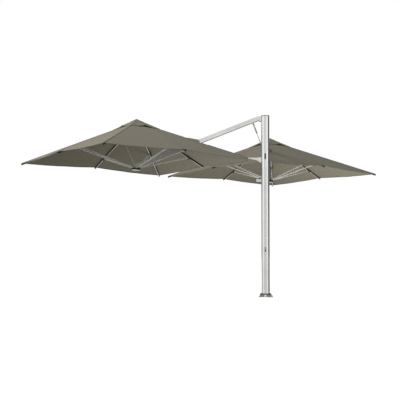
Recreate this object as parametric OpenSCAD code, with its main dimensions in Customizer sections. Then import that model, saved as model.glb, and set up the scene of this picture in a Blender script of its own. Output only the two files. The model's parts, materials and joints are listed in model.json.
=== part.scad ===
// Double cantilever parasol: two square canopies on arms that hinge on one mast, bolted to the floor.
// Millimetres, +Z up. The origin is the centre of the base plate's underside, on the floor.
// The left umbrella's arm runs along -X. The rear umbrella is the same assembly turned to run along +Y.

/* [Canopies] */
// Side length of each square canopy
canopy_w = 3000; // [2400:100:3600]
// Distance from the mast's axis to the canopy corner that points at it
corner_gap = 149; // [130:1:200]
// Height at which the slopes of a canopy would meet
apex_z = 3050; // [2900:10:3400]
// Drop from that height to the middle of an edge
edge_drop = 670; // [500:10:800]
// Drop from that height to a corner
corner_drop = 717; // [520:1:850]
// Thickness of the canopy cloth
cloth_t = 1; // [1:0.5:4]
// Distance from a canopy's axis to each corner of its vent hole
vent_r = 330; // [200:10:380]
// Distance from a canopy's axis to each corner of its vent cap
vent_cap_r = 423; // [390:1:480]
// Height of the vent cap's peak over the canopy's own
vent_rise = 48; // [30:1:80]

/* [Mast] */
// Width across the flats of the mast
mast_w = 136; // [120:1:180]
// Height of the top of the mast above the floor, without its cap
mast_top_z = 3095; // [3050:5:3500]
// Wall of the mast
mast_wall = 5; // [3:0.5:10]
// Cut at each corner of the mast
mast_corner = 20; // [10:1:25]
// Width of the channel down each face
channel_w = 38; // [20:1:60]
// Depth of that channel
channel_d = 2.5; // [1:0.5:3]
// Thickness of the mast's cap
cap_t = 10; // [6:1:20]

/* [Base] */
// Thickness of the base plate
plate_t = 12; // [8:1:25]
// Distance from the line of the floor bolts to the plate's edge
plate_edge = 15; // [14:1:40]
// Distance from the collar's side to the line of the floor bolts
bolt_out = 11; // [10:0.5:30]
// Radius of each floor bolt hole
bolt_hole_r = 6.5; // [5:0.5:8]
// Wall of the collar round the foot of the mast
collar_wall = 25; // [24:0.5:30]
// Height of the collar
collar_h = 50; // [40:1:80]

/* [Arms] */
// Distance from the mast's face to the arm's hinge
hinge_out = 48; // [46:1:60]
// Height of the arm's hinge
hinge_z = 3061; // [2900:1:3200]
// Fall of the arm from the mast to the hub, in degrees
arm_fall = 20.6; // [16:0.1:24]
// Depth of each of the two beams that make an arm
beam_h = 72; // [60:1:76]
// Thickness of each beam
beam_t = 14; // [10:1:16]
// Gap between the two beams
beam_gap = 30; // [29.5:0.5:34]
// Radius of the hinge pin at the mast
hinge_pin_r = 10; // [6:1:14]
// Radius of the pin that carries the hub
hub_pin_r = 8; // [6:1:10]

/* [Ribs and struts] */
// Distance from a canopy's axis to the inner pivots of its ribs
crown_r = 95; // [92:1:110]
// Distance from a canopy's axis to the inner pivots of its struts
hub_r = 74; // [72:1:84]
// Height of the strut pivots above the bottom of the hub's disc
strut_lift = 40; // [36:1:46]
// Width of a rib
rib_w = 16; // [12:1:17]
// Depth of a rib with its top rail
rib_h = 32; // [26:1:36]
// Space between the middle of a rib and the cloth above it
rib_under = 20; // [18:1:26]
// Distance from a canopy's axis to the strut joints on the middle ribs
middle_joint_r = 1157; // [1000:1:1175]
// Distance from a canopy's axis to the strut joints on the corner ribs
corner_joint_r = 1165; // [1000:1:1300]
// Thickness of each of the two bars that make a strut
bar_t = 4; // [3:0.5:5]
// Depth of the bars
bar_h = 20; // [16:1:22]
// Radius of the rib and strut pins
pin_r = 5; // [4:0.5:6]

/* [Gas springs] */
// Radius of the cylinder
gas_r = 13; // [10:0.5:13]
// Length of the cylinder
gas_len = 166; // [140:1:180]
// Radius of the piston rod
rod_r = 5; // [4:0.5:6]
// Distance along the arm from its hinge to the spring's upper eye
gas_along = 117; // [100:1:140]
// Distance from the middle of the beam down to that eye
gas_below = 21; // [15:1:25]
// Height of the spring's lower eye
gas_foot_z = 2655; // [2600:5:2700]
// Distance from the mast's face to the lower eye
gas_foot_out = 22; // [18:1:30]

/* [Corner tongues and buffers] */
// Height of the tongue's hinge
tongue_z = 2347; // [2300:1:2400]
// Distance from the mast's face to the tongue's hinge
tongue_out = 52; // [40:1:60]
// Length of the tongue from its hinge to its tip
tongue_len = 194; // [150:1:200]
// Height of the middle of the buffer bracket
buffer_z = 1984; // [1800:1:2100]
// Distance from the mast's face to the end of the buffer bracket
buffer_out = 90; // [60:1:91]

/* [Hidden] */
$fn = 48;

// Sides that the two umbrellas stand on
LEFT = 0;
REAR = 1;
SIDES = [LEFT, REAR];

// Clearances
run = 0.05;   // running fit between a pin and its bore
side = 0.5;   // beside a part that swings between two others
gap = 0.4;    // between neighbours that only lie close

// Colours
aluminium = "#d9dad8";
dark_grey = "#3a3b3d";
black = "#1d1e1f";
taupe = "#8b877a";
steel = "#c9cacc";
khaki = "#8b8678";

// Canopy
corner_r = canopy_w / sqrt(2);
edge_r = canopy_w / 2;
reach = corner_r + corner_gap;
edge_slope = atan(edge_drop / edge_r);
corner_slope = atan(corner_drop / corner_r);
cap_lift = 22;             // height of a vent cap's edge over the cloth, at the middle of a side

// Mast and base
bore_corner = mast_corner - 4;
collar_w = mast_w + 2 * collar_wall;
bolt_pitch = collar_w + 2 * bolt_out;
plate_w = bolt_pitch + 2 * plate_edge;

// Arm and hub
face = mast_w / 2;
hinge_x = face + hinge_out;
arm_len = (reach - hinge_x) / cos(arm_fall);
hub_pin_z = hinge_z - arm_len * sin(arm_fall);
hub_disc_t = 14;
hub_plate_t = 9;
hub_disc_z = hub_pin_z - beam_h / 2 - hub_disc_t - 8;   // underside of the hub's disc
strut_z = hub_disc_z + strut_lift;
beam_wall = 2;
beam_y = beam_gap / 2;
arm_cheek_t = 8;
beam_rise = beam_h / 2 / cos(arm_fall);        // from the middle of a beam straight up to its top

// Slot in the cloth, from where a beam's top meets the cloth to where its underside does
slot_before = 34;
slot_after = 102;
slot_beside = 9;
slot_fall = tan(arm_fall) + tan(corner_slope);
slot_r0 = (apex_z - cloth_t - hub_pin_z - beam_rise) / slot_fall - slot_before;
slot_r1 = (apex_z - hub_pin_z + beam_rise) / slot_fall + slot_after;
slot_w = beam_gap + 2 * beam_t + 2 * slot_beside;

// Ribs
corner_pivot_z = apex_z - crown_r * tan(corner_slope) - rib_under / cos(corner_slope);
middle_pivot_z = apex_z - crown_r * tan(edge_slope) - rib_under / cos(edge_slope);
corner_len = (corner_r - 8 - crown_r) / cos(corner_slope);
middle_len = (edge_r - 5 - crown_r) / cos(edge_slope);
mast_rib_r = reach - face - tongue_out - tongue_len - 26;
mast_rib_len = (mast_rib_r - crown_r) / cos(corner_slope);
rail_h = 12;
rail_w = 10;
tube_wall = 1.6;
tip_len = 26;
block_len = 52;
block_drop = 12;           // how far the strut joint's block hangs under the rib

// Struts
bar_y = rib_w / 2 + gap;
brace_at = 45;             // place of the spacer between the two bars

// Crown
crown_core_r = crown_r - rib_h / 2 - 3;
lug_t = 5;
lug_out = 12;

// Gas spring
eye_x = hinge_x + gas_along * cos(arm_fall) - gas_below * sin(arm_fall);
eye_z = hinge_z - gas_along * sin(arm_fall) - gas_below * cos(arm_fall);
foot_x = face + gas_foot_out;
gas_lean = atan((eye_x - foot_x) / (eye_z - gas_foot_z));
gas_eye_to_eye = (eye_z - gas_foot_z) / cos(gas_lean);
gas_eye_r = 11;
gas_eye_w = 12;
gas_neck = 30;
gas_end_wall = 14;
gas_stroke = 86;
rod_len = gas_eye_to_eye - gas_neck - gas_end_wall - gas_stroke;

// Tongue
tongue_w = 24;
tongue_pin_r = pin_r + 1;

// Buffer
buffer_w = 30;
buffer_h = 42;

// Places

// Turns the arm that runs along -X to its side of the mast
module on_side(where) {
    rotate([0, 0, -90 * where]) children();
}

// Moves to a canopy's axis. Its +X points at the mast.
module on_canopy(where) {
    on_side(where) translate([-reach, 0, 0]) children();
}

// A rod along Y, centred, where an XZ drawing has its hole or pin
module across(radius, width) {
    rotate([90, 0, 0]) cylinder(r = radius, h = width, center = true);
}

// A plate of an XZ outline, centred on y = 0
module slab(width) {
    rotate([90, 0, 0]) linear_extrude(height = width, center = true) children();
}

// Square with cut corners
module cut_square(width, cut) {
    half = width / 2;
    polygon([
        [half - cut, -half], [half, cut - half], [half, half - cut], [half - cut, half],
        [cut - half, half], [-half, half - cut], [-half, cut - half], [cut - half, -half]
    ]);
}

// Base

module base_plate() {
    edge_cut = 3;
    corner_cut = 8;
    color(steel)
    difference() {
        union() {
            linear_extrude(height = plate_t - edge_cut) cut_square(plate_w, corner_cut);
            translate([0, 0, plate_t - edge_cut])
                linear_extrude(height = edge_cut) cut_square(plate_w - 2 * edge_cut, corner_cut);
        }
        for (x = [-1, 1], y = [-1, 1])
            translate([x * bolt_pitch / 2, y * bolt_pitch / 2, -1])
                cylinder(r = bolt_hole_r, h = plate_t + 2);
    }
}

module base_collar() {
    top_t = 16;
    wedge_room = 44;
    pad = (collar_w - wedge_room) / 2;
    pad_in = 3;
    color(khaki)
    difference() {
        union() {
            translate([0, 0, plate_t + collar_h - top_t])
                linear_extrude(height = top_t) cut_square(collar_w, mast_corner - 6);
            for (turn = [0 : 90 : 270])
                rotate([0, 0, turn])
                    translate([collar_w / 2 - pad - pad_in, collar_w / 2 - pad - pad_in, plate_t])
                        cube([pad, pad, collar_h - top_t]);
        }
        translate([0, 0, plate_t - 1])
            linear_extrude(height = collar_h + 2) cut_square(mast_w + 2 * gap, mast_corner);
    }
    // Clamp wedges that lock the mast in the collar, one at the middle of each side
    color(steel)
    for (turn = [0 : 90 : 270])
        rotate([0, 0, turn])
            translate([0, -collar_w / 2 + 2, plate_t])
                wedge();
}

module wedge() {
    wedge_w = 36;
    wedge_h = collar_h - 17;
    slab_out = 22;
    wedge_in = collar_wall - 7;
    rotate([0, -90, 0])
        linear_extrude(height = wedge_w, center = true)
            polygon([[0, -slab_out], [0, wedge_in], [wedge_h, wedge_in], [wedge_h, -4], [wedge_h - 10, -8]]);
}

// Mast

module mast_profile() {
    difference() {
        cut_square(mast_w, mast_corner);
        for (turn = [0 : 90 : 270])
            rotate(turn)
                translate([-channel_w / 2, mast_w / 2 - channel_d]) square([channel_w, channel_d + 1]);
    }
}

// Blind pockets and a latch slot in the front and right faces, where more arms could be fitted
module mast_pockets() {
    pocket_d = channel_d + 1.5;
    // Width, height and lower end of each pocket
    pockets = [[12, 22, 2420], [18, 34, 2340], [10, 10, 1251], [10, 10, 1030], [20, 72, 765]];
    for (turn = [0, 90], pocket = pockets)
        rotate([0, 0, turn])
            translate([-pocket[0] / 2, -mast_w / 2 - 1, pocket[2]])
                cube([pocket[0], pocket_d + 1, pocket[1]]);
}

module mast() {
    color(aluminium)
    difference() {
        translate([0, 0, plate_t]) linear_extrude(height = mast_top_z - plate_t) mast_profile();
        translate([0, 0, plate_t - 1])
            linear_extrude(height = mast_top_z)
                cut_square(mast_w - 2 * (mast_wall + channel_d), bore_corner);
        mast_pockets();
    }
}

module mast_cap() {
    plug_h = 24;
    step_h = 3;
    step_in = 4;
    color(dark_grey) {
        translate([0, 0, mast_top_z]) linear_extrude(height = cap_t - step_h) cut_square(mast_w, mast_corner);
        translate([0, 0, mast_top_z + cap_t - step_h])
            linear_extrude(height = step_h) cut_square(mast_w - 2 * step_in, mast_corner - step_in / 2);
        translate([0, 0, mast_top_z - plug_h])
            linear_extrude(height = plug_h)
                cut_square(mast_w - 2 * (mast_wall + channel_d + gap), bore_corner);
    }
}

// Arm hinge brackets: a back plate on the mast and two cheeks outside the beams

module arm_bracket() {
    back_t = 8;
    cheek_in = beam_y + beam_t + side;
    cheek_thick = arm_cheek_t;
    top_z = hinge_z + 30;
    low_z = hinge_z - 58;
    nose_x = -hinge_x - 40;
    color(aluminium)
    difference() {
        union() {
            translate([-face - back_t, -cheek_in - cheek_thick, low_z])
                cube([back_t, 2 * (cheek_in + cheek_thick), top_z - low_z]);
            for (y = [-1, 1])
                translate([0, y * (cheek_in + cheek_thick / 2), 0])
                    slab(cheek_thick)
                        polygon([
                            [-face - 1, low_z], [-face - 1, top_z], [-hinge_x + 12, top_z],
                            [nose_x, hinge_z + 14], [nose_x, hinge_z - 22],
                            [-hinge_x - 6, hinge_z - 40], [-face - 12, low_z]
                        ]);
        }
        translate([-hinge_x, 0, hinge_z]) across(hinge_pin_r + gap, 200);
    }
}

module arm_brackets() {
    for (where = SIDES) on_side(where) arm_bracket();
}

// A pin along Y with a head at each end, wider than the pin by head_out all round
module headed_pin(radius, width, head_out, head_t) {
    across(radius, width);
    for (y = [-1, 1]) translate([0, y * width / 2, 0]) across(radius + head_out, head_t);
}

// Pins that stay with the mast: arm hinges, lower eyes of the gas springs and tongue hinges

module hinge_pins() {
    arm_pin_w = 2 * (beam_y + beam_t + side + arm_cheek_t) + 8;
    gas_pin_w = 30;
    tongue_pin_w = 42;
    head_r = 5;
    color(steel)
    for (where = SIDES)
        on_side(where) {
            translate([-hinge_x, 0, hinge_z]) headed_pin(hinge_pin_r, arm_pin_w, head_r, 5);
            translate([-foot_x, 0, gas_foot_z]) across(pin_r, gas_pin_w);
            translate([-face - tongue_out, 0, tongue_z])
                headed_pin(tongue_pin_r, tongue_pin_w, head_r - 1, 4);
        }
}

module gas_bracket() {
    back_t = 5;
    back_w = 40;
    back_h = 68;
    cheek = 5;
    color(aluminium)
    difference() {
        union() {
            translate([-face - back_t, -back_w / 2, gas_foot_z - back_h / 2]) cube([back_t, back_w, back_h]);
            for (y = [-1, 1])
                translate([0, y * (gas_eye_w / 2 + side + cheek / 2), 0])
                    slab(cheek)
                        polygon([
                            [-face - 1, gas_foot_z - 20], [-face - 1, gas_foot_z + 20],
                            [-foot_x - 9, gas_foot_z + 10], [-foot_x - 9, gas_foot_z - 10]
                        ]);
        }
        translate([-foot_x, 0, gas_foot_z]) across(pin_r + gap, 60);
    }
}

module gas_brackets() {
    for (where = SIDES) on_side(where) gas_bracket();
}

module tongue_bracket() {
    back_t = 6;
    back_w = 44;
    low_z = tongue_z - 61;
    top_z = tongue_z + 34;
    // The nose stops short of the arm's beams, which hang past it when the arm is folded
    nose_x = -face - tongue_out - 15;
    color(aluminium)
    difference() {
        union() {
            translate([-face - back_t, -back_w / 2, low_z]) cube([back_t, back_w, top_z - low_z]);
            for (y = [-1, 1])
                translate([0, y * (tongue_w / 2 + side + back_t / 2), 0])
                    slab(back_t)
                        polygon([
                            [-face - 1, low_z], [-face - 1, top_z], [nose_x, top_z], [nose_x, tongue_z - 20]
                        ]);
        }
        translate([-face - tongue_out, 0, tongue_z]) across(tongue_pin_r + gap, 2 * back_w);
    }
}

module tongue_brackets() {
    for (where = SIDES) on_side(where) tongue_bracket();
}

// Tapered finger that steadies the canopy corner next to the mast
module tongue() {
    root = 23;
    tip = 6;
    top = 33;
    color(aluminium)
    difference() {
        slab(tongue_w)
            polygon([
                [-face - tongue_out + 16, tongue_z + 12], [-face - tongue_out, tongue_z + top - 6],
                [-face - tongue_out - 40, tongue_z + top],
                [-face - tongue_out - tongue_len + 8, tongue_z + top],
                [-face - tongue_out - tongue_len, tongue_z + top - tip],
                [-face - tongue_out - 30, tongue_z - 12], [-face - tongue_out, tongue_z - root],
                [-face - tongue_out + 16, tongue_z - 12]
            ]);
        translate([-face - tongue_out, 0, tongue_z]) across(tongue_pin_r + run, 2 * tongue_w);
    }
}

// Brackets with rubber pads, which the arms lean on when they are folded down
module buffer_brackets() {
    back_t = 6;
    back_w = 48;
    back_h = 90;
    color(aluminium)
    for (where = SIDES)
        on_side(where) {
            translate([-face - back_t, -back_w / 2, buffer_z - back_h / 2]) cube([back_t, back_w, back_h]);
            translate([-face - buffer_out, -buffer_w / 2, buffer_z - buffer_h / 2])
                cube([buffer_out - back_t, buffer_w, buffer_h]);
        }
}

module buffer_pads() {
    pad_t = 6;
    pad_w = buffer_w - 4;
    color(black)
    for (where = SIDES)
        on_side(where) {
            translate([-face - buffer_out - pad_t, -pad_w / 2, buffer_z - buffer_h / 2 + 4])
                cube([pad_t, pad_w, buffer_h - 8]);
            translate([-face - 48, -pad_w / 2, buffer_z + buffer_h / 2]) cube([42, pad_w, 22]);
        }
}

// Arms

// Cross-section of one beam: a hollow extrusion with a groove down its outer face
module beam_profile() {
    groove_h = 22;
    half = beam_h / 2;
    difference() {
        translate([0, -half]) square([beam_t, beam_h]);
        translate([beam_wall, beam_wall - half]) square([beam_t - 2 * beam_wall - 2, beam_h - 2 * beam_wall]);
        translate([beam_t - 1.5, -groove_h / 2]) square([3, groove_h]);
    }
}

// One beam along -X from the hinge, on the +Y side, as it lies before it is tilted
module beam() {
    half = beam_h / 2;
    difference() {
        union() {
            translate([0, beam_y, 0]) rotate([0, -90, 0]) linear_extrude(height = arm_len)
                rotate(90) mirror([0, 1]) beam_profile();
            translate([0, beam_y + beam_t / 2, 0]) across(half, beam_t);
            translate([-arm_len, beam_y + beam_t / 2, 0]) across(half, beam_t);
        }
        translate([0, beam_y + beam_t / 2, 0]) across(hinge_pin_r + run, beam_t + 2);
    }
}

module arm() {
    spacers = [-170, -430];
    spacer_r = 9;
    color(aluminium)
    translate([-hinge_x, 0, hinge_z])
        rotate([0, -arm_fall, 0]) {
            beam();
            mirror([0, 1, 0]) beam();
            for (x = spacers) translate([x, 0, 0]) across(spacer_r, beam_gap + 2);
            translate([-arm_len, 0, 0]) across(hub_pin_r, beam_gap + beam_t);
        }
}

// Gas springs

// Frame with its origin at the lower eye and +Z up the spring
module on_gas_spring() {
    translate([-foot_x, 0, gas_foot_z]) rotate([0, -gas_lean, 0]) children();
}

module gas_rod() {
    color(steel)
    on_gas_spring()
        difference() {
            union() {
                across(gas_eye_r - 2, gas_eye_w);
                cylinder(r = rod_r, h = rod_len);
            }
            across(pin_r + run, gas_eye_w + 2);
        }
}

module gas_cylinder() {
    low = gas_eye_to_eye - gas_neck - gas_len;
    neck_r = 6;
    color(khaki)
    on_gas_spring() {
        difference() {
            translate([0, 0, low]) cylinder(r = gas_r, h = gas_len);
            translate([0, 0, low - 1]) cylinder(r = rod_r + run, h = gas_len - gas_end_wall + 1);
        }
        translate([0, 0, gas_eye_to_eye - gas_neck]) cylinder(r = neck_r, h = gas_neck - 6);
        translate([0, 0, gas_eye_to_eye]) across(gas_eye_r, gas_eye_w - 2);
    }
}

// Hub: a disc with eight tongues for the struts and a lug that hangs on the arm's pin

module hub() {
    lug_r = 28;
    rib_in = 52;
    color(dark_grey)
    difference() {
        union() {
            translate([0, 0, hub_disc_z]) cylinder(r = hub_r - 8, h = hub_disc_t);
            for (turn = [0 : 45 : 315])
                rotate([0, 0, turn]) {
                    translate([0, 0, hub_disc_z + 3])
                        slab(rib_w)
                            polygon([
                                [rib_in, 0], [hub_r + 2, 0], [hub_r + 9, strut_lift - 3],
                                [hub_r, strut_lift + 6], [hub_r - 9, strut_lift - 3]
                            ]);
                    translate([hub_r, 0, strut_z]) across(pin_r, rib_w + 2 * bar_t + 1.6);
                }
            translate([0, 0, hub_disc_z + 3])
                slab(beam_gap - 2 * side)
                    polygon([[-lug_r, 0], [lug_r, 0], [lug_r, hub_pin_z - hub_disc_z - 3],
                        [-lug_r, hub_pin_z - hub_disc_z - 3]]);
            translate([0, 0, hub_pin_z]) across(lug_r, beam_gap - 2 * side);
        }
        translate([0, 0, hub_pin_z]) across(hub_pin_r + run, beam_gap + 4);
    }
}

module hub_plate() {
    plate_r = hub_r + 1;
    bevel = 5;
    color(aluminium)
    translate([0, 0, hub_disc_z - hub_plate_t])
        rotate_extrude()
            polygon([
                [0, 0], [plate_r - bevel, 0], [plate_r, bevel - 1], [plate_r, hub_plate_t], [0, hub_plate_t]
            ]);
}

// Crown: carries the inner ends of the ribs

module crown() {
    low = min(corner_pivot_z, middle_pivot_z) - 22;
    high = max(corner_pivot_z, middle_pivot_z) + 22;
    lug_y = rib_w / 2 + side + lug_t / 2;
    spindle_r = 14;
    color(black) {
        translate([0, 0, low]) cylinder(r = crown_core_r, h = high - low);
        translate([0, 0, low]) cylinder(r = spindle_r, h = apex_z + vent_rise - 22 - low);
        for (turn = [0 : 45 : 315]) {
            pivot_z = turn % 90 == 0 ? corner_pivot_z : middle_pivot_z;
            rotate([0, 0, turn]) {
                for (y = [-1, 1])
                    translate([0, y * lug_y, 0])
                        slab(lug_t)
                            polygon([
                                [crown_core_r - 12, pivot_z - 20], [crown_core_r - 12, pivot_z + 18],
                                [crown_r + 4, pivot_z + 12], [crown_r + lug_out, pivot_z],
                                [crown_r + 4, pivot_z - 12]
                            ]);
                translate([crown_r, 0, pivot_z]) across(pin_r, 2 * lug_y + lug_t + 2);
            }
        }
    }
}

// Ribs, drawn along +X from the inner pivot and tilted down by their slope

module rib(turn, pivot_z, slope, length, joint_r) {
    joint = (joint_r - crown_r) / cos(slope);
    half = rib_h / 2;
    tube_h = rib_h - rail_h;
    start = half + 6;
    rotate([0, 0, turn])
        translate([crown_r, 0, pivot_z])
            rotate([0, slope, 0]) {
                color(black)
                difference() {
                    union() {
                        across(half - 2, rib_w);
                        translate([0, -rib_w / 2, -8]) cube([start, rib_w, 16]);
                    }
                    across(pin_r + run, rib_w + 2);
                }
                color(aluminium)
                difference() {
                    translate([start, -rib_w / 2, -half]) cube([length - tip_len - start, rib_w, tube_h]);
                    translate([start - 1, -rib_w / 2 + tube_wall, tube_wall - half])
                        cube([length, rib_w - 2 * tube_wall, tube_h - 2 * tube_wall]);
                }
                color(black) {
                    translate([start, -rail_w / 2, tube_h - half])
                        cube([length - tip_len - start, rail_w, rail_h]);
                    translate([joint - block_len / 2, -rib_w / 2, -half - block_drop])
                        cube([block_len, rib_w, block_drop]);
                    translate([length - tip_len, -rib_w / 2, -half]) cube([tip_len, rib_w, rib_h - 4]);
                }
            }
}

module corner_rib(where, index) {
    length = index == 0 ? mast_rib_len : corner_len;
    on_canopy(where) rib(90 * index, corner_pivot_z, corner_slope, length, corner_joint_r);
}

module middle_rib(where, index) {
    on_canopy(where) rib(45 + 90 * index, middle_pivot_z, edge_slope, middle_len, middle_joint_r);
}

// Struts: two bars that straddle the hub's tongue and the rib

module strut(turn, joint_r, joint_z) {
    rise = atan((joint_z - strut_z) / (joint_r - hub_r));
    length = (joint_r - hub_r) / cos(rise);
    half = bar_h / 2;
    rotate([0, 0, turn])
        translate([hub_r, 0, strut_z])
            rotate([0, -rise, 0]) {
                color(aluminium)
                for (y = [-1, 1])
                    translate([0, y * (bar_y + bar_t / 2), 0])
                        difference() {
                            union() {
                                translate([0, -bar_t / 2, -half]) cube([length, bar_t, bar_h]);
                                across(half, bar_t);
                                translate([length, 0, 0]) across(half, bar_t);
                            }
                            across(pin_r + run, bar_t + 2);
                        }
                color(steel) translate([brace_at, 0, 0]) across(5, 2 * bar_y + bar_t);
            }
}

module corner_strut(where, index) {
    joint_z = corner_pivot_z - (corner_joint_r - crown_r) * tan(corner_slope);
    on_canopy(where) strut(90 * index, corner_joint_r, joint_z);
}

module middle_strut(where, index) {
    joint_z = middle_pivot_z - (middle_joint_r - crown_r) * tan(edge_slope);
    on_canopy(where) strut(45 + 90 * index, middle_joint_r, joint_z);
}

// Cloth: eight flat panels between two rings of eight points, corners and mid-sides in turn

function ring(corner, middle, corner_z, middle_z) = [
    for (i = [0 : 7])
        let (r = i % 2 == 0 ? corner : middle, z = i % 2 == 0 ? corner_z : middle_z)
        [r * cos(45 * i), r * sin(45 * i), z]
];

function lowered(points, drop) = [for (p = points) [p.x, p.y, p.z - drop]];

module cloth_shell(inner, outer) {
    points = concat(inner, outer, lowered(inner, cloth_t), lowered(outer, cloth_t));
    n = len(inner);
    faces = [for (i = [0 : n - 1])
        let (j = (i + 1) % n)
        each [
            [j + n, i + n, i], [j, j + n, i],
            [i + 3 * n, j + 3 * n, i + 2 * n], [j + 3 * n, j + 2 * n, i + 2 * n],
            [j + 3 * n, i + 3 * n, i + n], [j + n, j + 3 * n, i + n],
            [i + 2 * n, j + 2 * n, i], [j + 2 * n, j, i]
        ]];
    polyhedron(points = points, faces = faces);
}

module canopy() {
    vent_mid = vent_r / sqrt(2);
    inner = ring(vent_r, vent_mid, apex_z - vent_r * tan(corner_slope), apex_z - vent_mid * tan(edge_slope));
    outer = ring(corner_r, edge_r, apex_z - corner_drop, apex_z - edge_drop);
    color(taupe)
    difference() {
        cloth_shell(inner, outer);
        translate([slot_r0, -slot_w / 2, 0]) cube([slot_r1 - slot_r0, slot_w, apex_z]);
        // The corner next to the mast is cut short, where the tongue takes over
        translate([mast_rib_r + 8, -150, 0]) cube([corner_r, 300, apex_z]);
    }
}

module vent_cap() {
    cap_mid = vent_cap_r / sqrt(2);
    peak = apex_z + vent_rise;
    knob_r = 32;
    inner = ring((knob_r + 1) * sqrt(2), knob_r + 1, peak - 17, peak - 13);
    outer = ring(vent_cap_r, cap_mid, apex_z - vent_cap_r * tan(corner_slope) + 6,
        apex_z - cap_mid * tan(edge_slope) + cap_lift);
    color(taupe) {
        cloth_shell(inner, outer);
        translate([0, 0, peak - 20])
            rotate_extrude() polygon([[0, 0], [knob_r, 0], [knob_r, 6], [knob_r - 8, 16], [14, 20], [0, 20]]);
    }
}

base_plate();
base_collar();
mast();
mast_cap();
arm_brackets();
hinge_pins();
gas_brackets();
tongue_brackets();
buffer_brackets();
buffer_pads();
on_side(LEFT) arm();  // left_arm
on_side(LEFT) gas_rod();  // left_gas_rod
on_side(LEFT) gas_cylinder();  // left_gas_cylinder
on_canopy(LEFT) hub();  // left_hub
on_canopy(LEFT) hub_plate();  // left_hub_plate
on_canopy(LEFT) crown();  // left_crown
on_canopy(LEFT) canopy();  // left_canopy
on_canopy(LEFT) vent_cap();  // left_vent_cap
on_side(LEFT) tongue();  // left_tongue
on_side(REAR) arm();  // rear_arm
on_side(REAR) gas_rod();  // rear_gas_rod
on_side(REAR) gas_cylinder();  // rear_gas_cylinder
on_canopy(REAR) hub();  // rear_hub
on_canopy(REAR) hub_plate();  // rear_hub_plate
on_canopy(REAR) crown();  // rear_crown
on_canopy(REAR) canopy();  // rear_canopy
on_canopy(REAR) vent_cap();  // rear_vent_cap
on_side(REAR) tongue();  // rear_tongue
corner_rib(LEFT, 0);  // left_corner_rib_1
corner_rib(LEFT, 1);  // left_corner_rib_2
corner_rib(LEFT, 2);  // left_corner_rib_3
corner_rib(LEFT, 3);  // left_corner_rib_4
middle_rib(LEFT, 0);  // left_middle_rib_1
middle_rib(LEFT, 1);  // left_middle_rib_2
middle_rib(LEFT, 2);  // left_middle_rib_3
middle_rib(LEFT, 3);  // left_middle_rib_4
corner_rib(REAR, 0);  // rear_corner_rib_1
corner_rib(REAR, 1);  // rear_corner_rib_2
corner_rib(REAR, 2);  // rear_corner_rib_3
corner_rib(REAR, 3);  // rear_corner_rib_4
middle_rib(REAR, 0);  // rear_middle_rib_1
middle_rib(REAR, 1);  // rear_middle_rib_2
middle_rib(REAR, 2);  // rear_middle_rib_3
middle_rib(REAR, 3);  // rear_middle_rib_4
corner_strut(LEFT, 0);  // left_corner_strut_1
corner_strut(LEFT, 1);  // left_corner_strut_2
corner_strut(LEFT, 2);  // left_corner_strut_3
corner_strut(LEFT, 3);  // left_corner_strut_4
middle_strut(LEFT, 0);  // left_middle_strut_1
middle_strut(LEFT, 1);  // left_middle_strut_2
middle_strut(LEFT, 2);  // left_middle_strut_3
middle_strut(LEFT, 3);  // left_middle_strut_4
corner_strut(REAR, 0);  // rear_corner_strut_1
corner_strut(REAR, 1);  // rear_corner_strut_2
corner_strut(REAR, 2);  // rear_corner_strut_3
corner_strut(REAR, 3);  // rear_corner_strut_4
middle_strut(REAR, 0);  // rear_middle_strut_1
middle_strut(REAR, 1);  // rear_middle_strut_2
middle_strut(REAR, 2);  // rear_middle_strut_3
middle_strut(REAR, 3);  // rear_middle_strut_4
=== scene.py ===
"""Double cantilever parasol: two square canopies on arms that hinge on one floor-bolted mast.

The frame's parts keep their shape and get their finishes here. The cloth, hems, seams, bolts, end caps and
other small pieces are made here, each on the body that it moves with. Everything is in metres, +Z up.
"""

from __future__ import annotations

import json
import logging
import math
from collections.abc import Callable, Iterable, Sequence
from dataclasses import dataclass
from enum import Enum
from typing import NamedTuple

import bmesh
import bpy
from mathutils import Matrix, Vector, noise

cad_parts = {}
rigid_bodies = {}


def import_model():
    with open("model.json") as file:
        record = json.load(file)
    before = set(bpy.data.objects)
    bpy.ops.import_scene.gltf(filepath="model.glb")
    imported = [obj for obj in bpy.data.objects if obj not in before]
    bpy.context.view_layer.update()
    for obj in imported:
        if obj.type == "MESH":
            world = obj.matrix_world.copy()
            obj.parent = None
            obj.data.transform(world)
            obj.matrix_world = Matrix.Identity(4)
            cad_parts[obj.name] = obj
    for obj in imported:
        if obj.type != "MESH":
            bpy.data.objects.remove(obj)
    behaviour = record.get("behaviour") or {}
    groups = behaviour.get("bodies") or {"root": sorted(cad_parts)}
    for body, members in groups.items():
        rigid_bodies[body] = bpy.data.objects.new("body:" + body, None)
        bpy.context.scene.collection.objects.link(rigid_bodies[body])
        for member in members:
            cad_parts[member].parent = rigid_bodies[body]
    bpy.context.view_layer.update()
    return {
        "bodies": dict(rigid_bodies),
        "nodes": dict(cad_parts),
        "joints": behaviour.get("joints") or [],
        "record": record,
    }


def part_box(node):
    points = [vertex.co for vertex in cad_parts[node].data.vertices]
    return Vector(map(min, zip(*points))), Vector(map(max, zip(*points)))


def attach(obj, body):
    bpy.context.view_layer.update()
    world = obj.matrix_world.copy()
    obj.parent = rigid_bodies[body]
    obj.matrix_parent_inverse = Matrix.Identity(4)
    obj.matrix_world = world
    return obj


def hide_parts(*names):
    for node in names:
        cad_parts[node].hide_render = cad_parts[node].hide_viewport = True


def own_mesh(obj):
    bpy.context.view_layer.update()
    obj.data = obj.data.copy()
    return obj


LOG = logging.getLogger("parasol")
MM = 0.001
UP = Vector((0, 0, 1))

# Fall from where a canopy's slopes would meet to the middle of an edge
EDGE_DROP = 0.670


# ---------------------------------------------------------------- colour and nodes


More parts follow.
